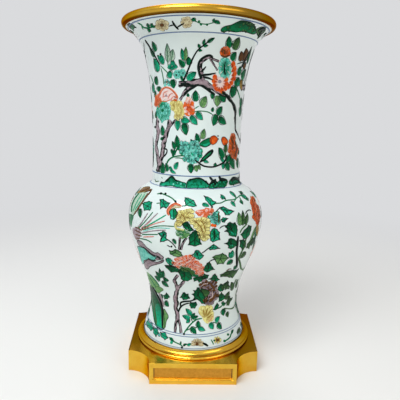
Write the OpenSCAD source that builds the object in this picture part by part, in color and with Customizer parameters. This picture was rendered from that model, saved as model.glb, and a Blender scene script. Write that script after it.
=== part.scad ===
// Mounted porcelain vase: trumpet neck, baluster body and spreading foot, with a gilt-bronze
// rim collar, foot collar and square plinth, held together by a tie rod inside.
// Millimetres, +Z up, origin on the table under the vase's axis, plinth front towards -Y.

/* [Vase outline] */
// Outer diameter of the foot rim
foot_d = 157; // [140:1:170]
// Outer diameter at the ankle, the narrowest place above the foot
ankle_d = 134.4; // [120:0.2:150]
// Height of the ankle above the foot rim
ankle_h = 54; // [45:0.5:65]
// Largest outer diameter of the body
belly_d = 200; // [180:1:220]
// Height of the largest diameter above the foot rim
belly_h = 188; // [170:1:205]
// Outer diameter at the waist, where shoulder and neck meet
waist_d = 130; // [122:0.5:140]
// Height of the waist above the foot rim
waist_h = 242; // [230:1:255]
// Length of the soft blend either side of the waist's crease
waist_blend = 3; // [1:0.5:6]
// Smallest outer diameter of the neck
neck_d = 128.4; // [120:0.2:138]
// Height of the neck's narrowest place above the foot rim, at its middle
neck_h = 282; // [270:1:300]
// Length of the straight stretch at the neck's narrowest place
neck_len = 14; // [4:1:24]
// Outer diameter of the lip
lip_d = 209; // [195:0.5:220]
// Height of the lip's rounded edge, at its centre, above the foot rim
lip_h = 459.5; // [430:0.5:490]
// Lean of the lip from upright, in degrees
lip_lean = 53; // [45:1:62]
// Length over which the trumpet turns out to the lip
lip_sweep = 21; // [14:0.5:28]

/* [Vase wall] */
// Wall of the neck and body
wall = 5.5; // [4:0.1:8]
// Thickness of the lip
lip_t = 4.2; // [3:0.1:5]
// Thickness of the floor
floor_t = 9; // [6:0.5:14]
// Radius between the floor and the wall inside
floor_round = 14; // [6:1:20]
// Height of the foot rim below the base
foot_rim_h = 9; // [5:0.5:14]
// Width of the foot rim
foot_rim_w = 8; // [6:0.5:12]
// Rounding of the foot rim's outer edge
foot_edge = 1.5; // [0.5:0.1:3]

/* [Rim collar] */
// Diameter of the collar's half-round section
rim_bead_d = 10.6; // [9.4:0.1:13]
// Rise of the section's centre above the centre of the lip's edge
rim_bead_rise = 1.1; // [0.4:0.1:1.6]
// Thickness of the plaster bed round the lip
bed_t = 0.6; // [0.3:0.1:0.9]

/* [Foot collar] */
// Width of the collar, from the foot rim out over its bead
collar_w = 9.5; // [9:0.5:16]
// Height of the collar above the plinth
collar_h = 11; // [9:0.5:14]
// Diameter of the collar's bead
collar_bead_d = 4.6; // [4:0.1:6.5]
// Width of the flat lip at the collar's top
collar_lip_w = 1.6; // [1:0.1:3]
// Height of the small step between bead and cavetto
collar_step_h = 1; // [0.5:0.1:2]
// Clearance round the foot rim
foot_clear = 0.3; // [0.2:0.1:1]

/* [Plinth] */
// How far the square plinth stands out past the foot collar
plinth_over = 7; // [2:0.5:12]
// Height of the plinth
plinth_h = 32; // [28:0.5:40]
// Radius of the incurved corners
corner_r = 33.5; // [26:0.5:36]
// Wall of the hollow casting
plinth_wall = 6; // [5:0.5:8]
// Thickness of the plinth's top plate
plinth_top_t = 5; // [4:0.5:8]
// Depth of the sunk panels
panel_depth = 3; // [1.5:0.1:3.5]
// Plain margin left and right of a panel
panel_side = 4.6; // [3:0.2:10]
// Plain margin over a panel
panel_over = 6.4; // [4:0.2:9]
// Plain margin under a panel
panel_under = 6.4; // [4:0.2:9]
// Width of the moulded step round a panel
panel_step_w = 1.4; // [0.8:0.1:2]
// Depth of the moulded step round a panel
panel_step_depth = 0.9; // [0.5:0.1:1]

/* [Fixing] */
// Diameter of the tie rod
rod_d = 8; // [6:0.5:12]
// Clearance round the rod in the plinth, the porcelain and the washers
rod_clear = 0.4; // [0.2:0.1:1]
// Clearance between the rod and the threads of its nuts
thread_clear = 0.05; // [0.05:0.05:0.2]
// Rod left standing past each nut
rod_spare = 4; // [1:0.5:8]
// Width across the flats of the nuts
nut_af = 15; // [13:0.5:22]
// Height of the nuts
nut_h = 6.5; // [4:0.5:10]
// Diameter of the clamp plate inside the vase
clamp_d = 64; // [40:1:80]
// Thickness of the clamp plate
clamp_t = 3; // [2:0.5:5]
// Diameter of the leather cushion under the clamp plate
cushion_d = 70; // [45:1:84]
// Thickness of the leather cushion
cushion_t = 3; // [1.5:0.5:5]
// Diameter of the washer under the plinth's top plate
washer_d = 34; // [26:1:60]
// Thickness of that washer
washer_t = 2.5; // [1.5:0.5:4]
// Thickness of the leather ring under the foot rim
foot_washer_t = 2; // [1:0.5:4]
// Number of screws that hold the foot collar
screw_count = 4; // [3:1:8]
// Diameter of the screws
screw_d = 4; // [3:0.5:4.5]
// Clearance round the screws in the plinth
screw_clear = 0.3; // [0.2:0.1:0.6]
// Depth of the screws in the collar
screw_grip = 4; // [2:0.5:5]
// Diameter of the screw heads
screw_head_d = 7.6; // [6:0.2:9]
// Height of the screw heads
screw_head_h = 2.6; // [2:0.2:4]

/* [Hidden] */
$fn = 128;

porcelain = [0.93, 0.94, 0.93];
gilt = [0.85, 0.64, 0.24];
plaster = [0.86, 0.83, 0.76];
leather = [0.45, 0.30, 0.18];
brass = [0.74, 0.60, 0.30];
steel = [0.55, 0.56, 0.58];

// Levels from the table up
foot_z = plinth_h + foot_washer_t;
base_z = foot_z + foot_rim_h;
floor_z = base_z + floor_t;
ankle_z = foot_z + ankle_h;
belly_z = foot_z + belly_h;
waist_z = foot_z + waist_h;
neck_z = foot_z + neck_h;
lip_z = foot_z + lip_h;
clamp_z = floor_z + cushion_t;
upper_nut_z = clamp_z + clamp_t;
plate_z = plinth_h - plinth_top_t;
washer_z = plate_z - washer_t;
lower_nut_z = washer_z - nut_h;

// Directions along the lip and square to it, towards its underside
lip_along = [sin(lip_lean), cos(lip_lean)];
lip_under = [cos(lip_lean), -sin(lip_lean)];
lip_centre = [(lip_d - lip_t) / 2, lip_z];

foot_hollow_r = foot_d / 2 - foot_rim_w;
collar_d = foot_d + 2 * collar_w;
plinth_w = collar_d + 2 * plinth_over;
collar_bore_r = foot_d / 2 + foot_clear;
screw_ring_r = (collar_bore_r + (collar_d - collar_bead_d) / 2) / 2;

function unit(v) = v / norm(v);

// Points of a cubic curve from a to d with handles b and c; the first point is left out
curve_steps = 18;
blend_steps = 6;
function curve(a, b, c, d, steps = curve_steps) = [
    for (i = [1 : steps])
        let (t = i / steps, s = 1 - t)
            a * s * s * s + b * 3 * s * s * t + c * 3 * s * t * t + d * t * t * t
];

// Upright S curve between two heights of the outline
function sway(low, high, pulls) =
    curve(low, low + [0, pulls[0] * (high.y - low.y)],
          high - [0, pulls[1] * (high.y - low.y)], high);

// How far each curve's handles reach, as shares of its height: lower end, then upper end
foot_pulls = [0.39, 0.26];
body_pulls = [0.39, 0.345];
throat_pulls = [0.3, 0.4];
shoulder_pulls = [0.17, 0.34];
trumpet_pull = 0.9;

foot_point = [foot_d / 2, foot_z + foot_edge];
ankle_point = [ankle_d / 2, ankle_z];
belly_point = [belly_d / 2, belly_z];
waist_point = [waist_d / 2, waist_z];
neck_low = [neck_d / 2, neck_z - neck_len / 2];
neck_high = [neck_d / 2, neck_z + neck_len / 2];
lip_outer = lip_centre + lip_under * lip_t / 2;

// The shoulder aims at the waist's crease and stops short of it for the blend
shoulder = belly_point - waist_point;
shoulder_aim = [shoulder.x, shoulder.y * shoulder_pulls[1]];
waist_low = waist_point + waist_blend * unit(shoulder_aim);
waist_high = waist_point + [0, waist_blend];

// Outer line from the foot rim to the ankle, and from the ankle to the lip
foot_line = sway(foot_point, ankle_point, foot_pulls);
body_line = sway(ankle_point, belly_point, body_pulls);
shoulder_line = curve(belly_point, belly_point - [0, shoulder.y * shoulder_pulls[0]],
                      waist_point + shoulder_aim, waist_low);
waist_line = curve(waist_low, (waist_low + waist_point) / 2, (waist_point + waist_high) / 2,
                   waist_high, blend_steps);
throat_line = sway(waist_high, neck_low, throat_pulls);
trumpet_line = curve(neck_high, neck_high + [0, (lip_outer.y - neck_high.y) * trumpet_pull],
                     lip_outer - lip_along * lip_sweep, lip_outer);
outer_line = concat([ankle_point], body_line, shoulder_line, waist_line, throat_line,
                    [neck_high], trumpet_line);

// Thickness of the wall along the outer line: it thins from the top of the straight neck to the lip
line_last = len(outer_line) - 1;
neck_last = line_last - curve_steps;
function thickness(i) =
    let (u = max(0, (i - neck_last) / curve_steps))
        wall + (lip_t - wall) * u * u;

// Direction of the outer line at a point, and the same line set off square to it
function heading(i) =
    i == 0 || i == neck_last - 1 || i == neck_last ? [0, 1] :
    i == line_last ? lip_along :
    unit(outer_line[i + 1] - outer_line[i - 1]);
function set_off(i, gap) = outer_line[i] + gap * [heading(i).y, -heading(i).x];

inner_line = [for (i = [line_last : -1 : 0]) set_off(i, -thickness(i))];

// Hollow below the ankle: the wall runs down to the rounded floor
floor_r = ankle_d / 2 - wall;
floor_line = [
    for (a = [0 : 10 : 90])
        [floor_r - floor_round * (1 - cos(a)), floor_z + floor_round * (1 - sin(a))]
];

// Rounded edge of the lip, from its underside over to its inside
function lip_edge(radius) = [
    for (a = [10 : 20 : 170])
        lip_centre + radius * (cos(a) * lip_under + sin(a) * lip_along)
];

// The lip's section as far as the rim collar reaches, made larger by gap on every side
collar_reach = 8;
module lip_section(gap) {
    first = line_last - collar_reach;
    under = [for (i = [first : line_last]) set_off(i, gap)];
    over = [for (i = [line_last : -1 : first]) set_off(i, -thickness(i) - gap)];
    polygon(concat(under, lip_edge(lip_t / 2 + gap), over));
}

module rim_bead() {
    translate(lip_centre + [0, rim_bead_rise])
        circle(d = rim_bead_d);
}

module porcelain_vase() {
    rod_hole_r = rod_d / 2 + rod_clear;
    base_line = [
        [rod_hole_r, floor_z],
        [rod_hole_r, base_z],
        [foot_hollow_r, base_z],
        [foot_hollow_r, foot_z]
    ];
    rim_edge = [
        for (a = [0 : 15 : 90])
            foot_point + foot_edge * [sin(a) - 1, -cos(a)]
    ];
    body_and_neck = [for (i = [1 : line_last]) outer_line[i]];
    color(porcelain)
        rotate_extrude()
            polygon(concat(base_line, rim_edge, foot_line, body_and_neck, lip_edge(lip_t / 2),
                           inner_line, floor_line));
}

module rim_collar() {
    color(gilt)
        rotate_extrude()
            difference() {
                rim_bead();
                lip_section(bed_t);
            }
}

module rim_bedding() {
    color(plaster)
        rotate_extrude()
            intersection() {
                rim_bead();
                difference() {
                    lip_section(bed_t);
                    lip_section(0);
                }
            }
}

// Cavetto over a bead, in section, standing on the plinth
module foot_collar_section() {
    bead_r = collar_bead_d / 2;
    bead_centre = [collar_d / 2 - bead_r, plinth_h + bead_r];
    top_z = plinth_h + collar_h;
    step_z = plinth_h + collar_bead_d + collar_step_h;
    sweep = [bead_centre.x - collar_bore_r - collar_lip_w, top_z - step_z];
    cavetto = [
        for (a = [0 : 10 : 90])
            [bead_centre.x - sweep.x * sin(a), top_z - sweep.y * cos(a)]
    ];
    translate(bead_centre)
        circle(r = bead_r);
    polygon(concat([[collar_bore_r, plinth_h], [bead_centre.x, plinth_h]], cavetto,
                   [[collar_bore_r, top_z]]));
}

// Places one child at each collar screw, on the diagonals of the plinth
module at_screws() {
    for (i = [0 : screw_count - 1])
        rotate(45 + i * 360 / screw_count)
            translate([screw_ring_r, 0, 0])
                children();
}

module foot_collar() {
    color(gilt)
        difference() {
            rotate_extrude()
                foot_collar_section();
            at_screws()
                translate([0, 0, plinth_h - screw_grip])
                    cylinder(d = screw_d + 2 * thread_clear, h = 2 * screw_grip);
        }
}

module collar_screws() {
    color(steel)
        at_screws() {
            translate([0, 0, plate_z - screw_head_h])
                cylinder(d = screw_head_d, h = screw_head_h);
            translate([0, 0, plate_z - screw_head_h])
                cylinder(d = screw_d, h = screw_head_h + plinth_top_t + screw_grip);
        }
}

// Square outline with incurved corners, set in by a margin
module plinth_outline(margin) {
    difference() {
        square(plinth_w - 2 * margin, center = true);
        for (x = [-1, 1], y = [-1, 1])
            translate([x, y] * plinth_w / 2)
                circle(r = corner_r + margin);
    }
}

// Cut for one sunk panel in the front face, smaller by inset on every side
module panel_cut(inset, depth) {
    panel_w = plinth_w - 2 * (corner_r + panel_side + inset);
    panel_h = plinth_h - panel_over - panel_under - 2 * inset;
    translate([-panel_w / 2, -plinth_w / 2 - depth, panel_under + inset])
        cube([panel_w, 2 * depth, panel_h]);
}

module plinth() {
    color(gilt)
        difference() {
            linear_extrude(plinth_h)
                plinth_outline(0);
            translate([0, 0, -plinth_top_t])
                linear_extrude(plinth_h)
                    plinth_outline(plinth_wall);
            for (side = [0 : 3])
                rotate(90 * side) {
                    panel_cut(0, panel_step_depth);
                    panel_cut(panel_step_w, panel_depth);
                }
            cylinder(d = rod_d + 2 * rod_clear, h = 2 * plinth_h);
            at_screws()
                cylinder(d = screw_d + 2 * screw_clear, h = 2 * plinth_h);
        }
}

// Ring lying at a height, with a round hole
module ring(outer_d, hole_d, height, z) {
    translate([0, 0, z])
        difference() {
            cylinder(d = outer_d, h = height);
            translate([0, 0, -height])
                cylinder(d = hole_d, h = 3 * height);
        }
}

module foot_washer() {
    color(leather)
        ring(2 * (foot_d / 2 - foot_edge), 2 * foot_hollow_r, foot_washer_t, plinth_h);
}

module tie_rod() {
    rod_low_z = lower_nut_z - rod_spare;
    rod_high_z = upper_nut_z + nut_h + rod_spare;
    color(steel)
        translate([0, 0, rod_low_z])
            cylinder(d = rod_d, h = rod_high_z - rod_low_z);
}

module inner_cushion() {
    color(leather)
        ring(cushion_d, rod_d + 2 * rod_clear, cushion_t, floor_z);
}

module clamp_plate() {
    color(brass)
        ring(clamp_d, rod_d + 2 * rod_clear, clamp_t, clamp_z);
}

module lower_washer() {
    color(steel)
        ring(washer_d, rod_d + 2 * rod_clear, washer_t, washer_z);
}

// Hexagon nut with its thread as a plain hole
module nut(z) {
    color(brass)
        translate([0, 0, z])
            difference() {
                cylinder(d = nut_af / cos(30), h = nut_h, $fn = 6);
                translate([0, 0, -nut_h])
                    cylinder(d = rod_d + 2 * thread_clear, h = 3 * nut_h);
            }
}

module upper_nut() {
    nut(upper_nut_z);
}

module lower_nut() {
    nut(lower_nut_z);
}

porcelain_vase();
rim_collar();
rim_bedding();
foot_collar();
collar_screws();
plinth();
foot_washer();
tie_rod();
inner_cushion();
clamp_plate();
upper_nut();
lower_washer();
lower_nut();
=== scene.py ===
"""Dresses the mounted porcelain vase: glaze, overglaze enamels, gilt mounts, camera and light."""

from __future__ import annotations

import logging
import math
from contextlib import contextmanager
from dataclasses import dataclass, field, replace
from enum import Enum
from typing import Any, Callable, Iterable, Iterator, Sequence

import bmesh
import bpy
import numpy as np
from mathutils import Matrix, Vector


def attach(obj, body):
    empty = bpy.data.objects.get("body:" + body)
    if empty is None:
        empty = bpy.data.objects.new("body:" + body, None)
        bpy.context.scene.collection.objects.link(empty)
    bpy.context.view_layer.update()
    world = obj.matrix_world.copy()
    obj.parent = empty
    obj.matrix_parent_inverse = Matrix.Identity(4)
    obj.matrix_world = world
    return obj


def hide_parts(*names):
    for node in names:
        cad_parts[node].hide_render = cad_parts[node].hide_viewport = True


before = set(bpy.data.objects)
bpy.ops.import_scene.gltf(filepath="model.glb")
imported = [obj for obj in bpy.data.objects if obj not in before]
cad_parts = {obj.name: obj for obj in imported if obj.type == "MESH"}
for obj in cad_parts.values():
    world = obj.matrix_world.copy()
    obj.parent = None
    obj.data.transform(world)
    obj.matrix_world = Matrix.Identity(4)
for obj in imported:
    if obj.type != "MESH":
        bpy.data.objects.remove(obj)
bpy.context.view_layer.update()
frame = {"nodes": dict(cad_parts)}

LOG = logging.getLogger("vase")
MM = 0.001
# Mesh attribute that darkens a finish: the enamels' own darker paint, and painted shade and painted
# reflection on the gilding
BODY = "root"
TONE_AND_SHADE = "stain"
# Distances in metres within which points of a turned mesh, or of a solid's mesh, are merged
MERGE_GAP, SOLID_GAP = 1e-6, 2e-6
# Angles in degrees: edges above the first look sharp, edges above the second are softened, and faces
# that meet below the third become one
SHARP_ANGLE, SOFT_ANGLE, FLAT_ANGLE = 32, 35, 0.5
SOFT_STEPS = 3
Pair = tuple[float, float]
Triple = tuple[float, float, float]
Color = tuple[float, float, float, float]
Pixel = Pair
Row = tuple[float, ...]


def linear(red: int, green: int, blue: int) -> Color:
    """Turns a colour as it is seen on a screen into Blender's linear values.

    Args:
        red: Red, 0 to 255.
        green: Green, 0 to 255.
        blue: Blue, 0 to 255.

    Returns:
        Linear red, green and blue, and full alpha.
    """
    knee, low_slope, offset, power = 0.04045, 12.92, 0.055, 2.4

    def channel(value: int) -> float:
        """Converts one channel."""
        share = value / 255
        return share / low_slope if share <= knee else ((share + offset) / (1 + offset)) ** power

    return channel(red), channel(green), channel(blue), 1.0


class NodeCanvas:
    """Adds nodes to a tree and wires them in one call."""

    def __init__(self, tree: Any) -> None:
        """Keeps the tree that the nodes go into."""
        self.tree = tree

    @classmethod
    def of(cls, owner: Any) -> NodeCanvas:
        """Empties the node tree of a material or world, and opens it.

        Args:
            owner: The material or world.

        Returns:
            A canvas for its tree.
        """
        owner.use_nodes = True
        owner.node_tree.nodes.clear()
        return cls(owner.node_tree)

    def add(self, kind: str, inputs: dict[Any, Any] | None = None, **settings: Any) -> Any:
        """Adds one node.

        Args:
            kind: The node's type name.
            inputs: For each input, by name or number, a socket to link or a value to set.
            settings: Properties of the node, such as its operation.

        Returns:
            The new node.
        """
        node = self.tree.nodes.new(kind)
        for name, value in settings.items():
            setattr(node, name, value)
        for key, value in (inputs or {}).items():
            socket = node.inputs[key]
            if isinstance(value, bpy.types.NodeSocket):
                self.tree.links.new(value, socket)
            else:
                socket.default_value = value
        return node

    def math(self, operation: str, *values: Any) -> Any:
        """Adds a Math node and returns its output socket."""
        return self.add("ShaderNodeMath", dict(enumerate(values)), operation=operation).outputs[0]

    def mix(self, share: Any, first: Any, second: Any) -> Any:
        """Mixes two colours, whose sockets come after a Mix node's numbers and vectors."""
        node = self.add("ShaderNodeMix", {0: share, 6: first, 7: second}, data_type="RGBA")
        return node.outputs[2]


def new_group(name: str, kind: str, inputs: dict[str, Any],
              outputs: dict[str, str]) -> tuple[NodeCanvas, Any]:
    """Makes a node group with named sockets, and opens it.

    Args:
        name: The group's name.
        kind: GeometryNodeTree or ShaderNodeTree.
        inputs: Socket type, or socket type and default value, for each input name.
        outputs: Socket type for each output name.

    Returns:
        A canvas for the group, and the group's inputs as sockets.
    """
    group = bpy.data.node_groups.new(name, kind)
    for label, spec in inputs.items():
        socket_type, default = spec if isinstance(spec, tuple) else (spec, None)
        socket = group.interface.new_socket(label, in_out="INPUT", socket_type=socket_type)
        if default is not None:
            socket.default_value = default
    for label, socket_type in outputs.items():
        group.interface.new_socket(label, in_out="OUTPUT", socket_type=socket_type)
    canvas = NodeCanvas(group)
    return canvas, canvas.add("NodeGroupInput").outputs


FLOAT = "NodeSocketFloat"
COLOR = "NodeSocketColor"
GEOMETRY = "NodeSocketGeometry"
OBJECT = "NodeSocketObject"
MATERIAL = "NodeSocketMaterial"


class ShaderEffects:
    """Shader node groups that several finishes share."""

    drift_detail, drift_roughness, drift_span = 4.0, 0.55, (0.32, 0.68)
    hatch_scale, hatch_detail, hatch_grain = 260.0, 3.0, 1.2

    def __init__(self) -> None:
        """Builds the groups once."""
        self.drift = self._drift()
        self.brushing = self._brushing()

    def _drift(self) -> Any:
        """Makes the group that varies a colour softly over a surface.

        Returns:
            The node group.
        """
        canvas, given = new_group(
            "tone_drift", "ShaderNodeTree",
            {"Base": COLOR, "Other": COLOR, "Scale": (FLOAT, 40.0), "Amount": (FLOAT, 0.5)},
            {"Color": COLOR, "Mask": FLOAT})
        place = canvas.add("ShaderNodeTexCoord").outputs["Object"]
        noise = canvas.add("ShaderNodeTexNoise", {
            "Vector": place, "Scale": given["Scale"], "Detail": self.drift_detail,
            "Roughness": self.drift_roughness})
        low, high = self.drift_span
        ramp = canvas.add("ShaderNodeMapRange", {"Value": noise.outputs["Fac"],
                                                 "From Min": low, "From Max": high})
        mask = canvas.math("MULTIPLY", ramp.outputs["Result"], given["Amount"])
        color = canvas.mix(mask, given["Base"], given["Other"])
        canvas.add("NodeGroupOutput", {"Color": color, "Mask": mask})
        return canvas.tree

    def _brushing(self) -> Any:
        """Makes the group of fine upright lines, as a matting tool leaves in a panel.

        Returns:
            The node group.
        """
        canvas, given = new_group(
            "fine_hatch", "ShaderNodeTree",
            {"Pitch": (FLOAT, 0.0009), "Wander": (FLOAT, 0.0006)}, {"Height": FLOAT})
        place = canvas.add("ShaderNodeTexCoord").outputs["Object"]
        axes = canvas.add("ShaderNodeSeparateXYZ", {0: place}).outputs
        noise = canvas.add("ShaderNodeTexNoise", {"Vector": place, "Scale": self.hatch_scale,
                                                  "Detail": self.hatch_detail}).outputs["Fac"]
        along = canvas.math("ADD", axes["X"], axes["Y"])
        bent = canvas.math("MULTIPLY_ADD", noise, given["Wander"], along)
        turns = canvas.math("DIVIDE", bent, given["Pitch"])
        wave = canvas.math("SINE", canvas.math("MULTIPLY", turns, 2 * math.pi))
        rough = canvas.math("MULTIPLY_ADD", noise, self.hatch_grain, wave)
        canvas.add("NodeGroupOutput", {"Height": rough})
        return canvas.tree


@dataclass(frozen=True)
class Finish:
    """A finish that is the same kind of surface all over.

    Attributes:
        name: The material's name.
        base: Main colour.
        other: Colour that the main one drifts to.
        scale: Scale of the drift.
        amount: How far the drift goes, 0 to 1.
        roughness: Lowest and highest roughness.
        metallic: 1 for metal.
        coat: Clear coat over the colour.
        gloss: Specular level.
        bump: Height of the surface's unevenness, in metres.
        hatch: Height of fine hatching, in metres.
        stain: Colour that the mesh's attribute of the same name mixes in: for the enamels their own darker
            paint, for the gilding painted shade and painted reflection.
        edge: Tint of the gloss, which shows most at grazing angles.
    """

    name: str
    base: Color
    other: Color
    scale: float
    amount: float
    roughness: Pair
    metallic: float = 0.0
    coat: float = 0.0
    gloss: float = 0.5
    bump: float = 0.0
    hatch: float = 0.0
    stain: Color | None = None
    edge: Color = (1.0, 1.0, 1.0, 1.0)

    def material(self, effects: ShaderEffects) -> bpy.types.Material:
        """Builds the material.

        Args:
            effects: The shared node groups.

        Returns:
            A material with its own nodes.
        """
        made = bpy.data.materials.new(self.name)
        canvas = NodeCanvas.of(made)
        drift = canvas.add("ShaderNodeGroup", {"Base": self.base, "Other": self.other, "Scale": self.scale,
                                               "Amount": self.amount}, node_tree=effects.drift)
        color = drift.outputs["Color"]
        if self.stain:
            # Mixes in the darker colour by the mesh's attribute: painted shade and painted reflection on
            # the gilding
            tone_and_shade_node = canvas.add("ShaderNodeAttribute", attribute_name=TONE_AND_SHADE)
            color = canvas.mix(tone_and_shade_node.outputs["Fac"], color, self.stain)
        smooth, dull = self.roughness
        rough = canvas.math("MULTIPLY_ADD", drift.outputs["Mask"], dull - smooth, smooth)
        heights = [(drift.outputs["Mask"], self.bump)] if self.bump else []
        if self.hatch:
            lines = canvas.add("ShaderNodeGroup", node_tree=effects.brushing)
            heights.append((lines.outputs["Height"], self.hatch))
        normal: dict[str, Any] = {}
        for height, distance in heights:
            bump = canvas.add("ShaderNodeBump", {"Height": height, "Distance": distance, **normal})
            normal = {"Normal": bump.outputs["Normal"]}
        shader = canvas.add("ShaderNodeBsdfPrincipled", {
            "Base Color": color, "Roughness": rough, "Metallic": self.metallic,
            "Coat Weight": self.coat, "Specular IOR Level": self.gloss, "Specular Tint": self.edge,
            **normal})
        canvas.add("ShaderNodeOutputMaterial", {"Surface": shader.outputs[0]})
        return made


# Scale and amount of the enamels' drift from thin to thick paint, their roughness and their gloss
ENAMEL_SCALE, ENAMEL_DRIFT, ENAMEL_ROUGHNESS, ENAMEL_GLOSS = 260.0, 0.95, (0.24, 0.38), 0.08


class Enamel(Enum):
    """Enamels of the painting: thin paint, thick paint and shadow of each, as seen on a screen."""

    DARK_GREEN = ((4, 136, 82), (0, 86, 48), (0, 32, 18))
    GREEN = ((36, 188, 142), (4, 144, 100), (0, 60, 38))
    LIGHT_GREEN = ((134, 178, 110), (74, 138, 80), (30, 86, 46))
    PALE_GREEN = ((196, 216, 196), (150, 188, 160), (80, 126, 100))
    OLIVE = ((78, 120, 64), (44, 88, 48), (16, 44, 24))
    TURQUOISE = ((152, 234, 220), (52, 184, 162), (6, 104, 86))
    YELLOW = ((244, 242, 168), (218, 206, 116), (178, 152, 66))
    OCHRE = ((182, 150, 66), (146, 112, 44), (104, 72, 26))
    RED = ((246, 116, 40), (204, 58, 14), (112, 18, 4))
    CORAL = ((236, 144, 104), (208, 92, 56), (160, 56, 32))
    PINK = ((230, 156, 140), (214, 118, 104), (180, 84, 76))
    BLUSH = ((240, 224, 218), (234, 202, 194), (214, 150, 140))
    AUBERGINE = ((182, 164, 170), (130, 108, 116), (54, 36, 42))
    CREAM = ((226, 218, 182), (202, 188, 142), (142, 110, 62))
    OUTLINE = ((16, 34, 28), (8, 20, 16), (4, 10, 8))
    SEPIA = ((116, 76, 40), (86, 54, 26), (48, 26, 12))
    BLUE = ((126, 148, 186), (104, 128, 170), (90, 110, 150))

    @property
    def piece(self) -> str:
        """Gives the name of this enamel's piece."""
        return f"enamel_{self.name.lower()}"

    def finish(self) -> Finish:
        """Gives this enamel's glossy finish."""
        thin, thick, shadow = (linear(*color) for color in self.value)
        return Finish(self.piece, thin, thick, ENAMEL_SCALE, ENAMEL_DRIFT, ENAMEL_ROUGHNESS,
                      gloss=ENAMEL_GLOSS, stain=shadow)


GLAZE = Finish("white_glaze", linear(228, 239, 234), linear(219, 233, 232), 14.0, 0.6,
               (0.1, 0.16), coat=0.4, bump=0.00004)
# Dark brown that the gilding's attribute mixes in: painted shade and painted reflection
PAINTED_GILT_SHADE = linear(92, 58, 18)
BURNISHED = Finish("burnished_gilt", linear(255, 208, 80), linear(244, 184, 56), 60.0, 0.7,
                   (0.16, 0.32), metallic=1.0, bump=0.00003, stain=PAINTED_GILT_SHADE, edge=linear(208, 158, 78))
# Dark brown round the sunk panels: painted shade in the recess corners
PANEL_SHADE = Finish("panel_dirt", linear(104, 70, 28), linear(74, 48, 18), 400.0, 0.8, (0.5, 0.7))
MATTED = Finish("matted_gilt", linear(216, 160, 64), linear(190, 134, 46), 320.0, 0.6,
                (0.4, 0.55), metallic=1.0, bump=0.00002, hatch=0.00006)
PLASTER = Finish("bedding_plaster", linear(226, 218, 200), linear(200, 188, 164), 300.0, 0.8,
                 (0.8, 0.95), bump=0.00005)
LEATHER = Finish("washer_leather", linear(116, 78, 48), linear(84, 54, 32), 420.0, 0.9,
                 (0.6, 0.8), bump=0.00012)
BRASS = Finish("turned_brass", linear(214, 176, 96), linear(176, 134, 62), 90.0, 0.7,
               (0.24, 0.4), metallic=1.0, bump=0.00002)
STEEL = Finish("plain_steel", linear(168, 170, 174), linear(122, 122, 126), 120.0, 0.7,
               (0.28, 0.46), metallic=1.0, bump=0.00002)


def unit(vector: np.ndarray) -> np.ndarray:
    """Gives the direction of a vector as a vector of length 1."""
    return vector / np.linalg.norm(vector)


def cubic(start: np.ndarray, pull: np.ndarray, push: np.ndarray, end: np.ndarray,
          steps: int) -> np.ndarray:
    """Gives the points of a cubic curve, without its first point.

    Args:
        start: First point.
        pull: Handle at the first point.
        push: Handle at the last point.
        end: Last point.
        steps: Number of points.

    Returns:
        The points, one row each.
    """
    share = np.linspace(0, 1, steps + 1)[1:, None]
    rest = 1 - share
    return (start * rest ** 3 + pull * 3 * rest ** 2 * share
            + push * 3 * rest * share ** 2 + end * share ** 3)


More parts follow.
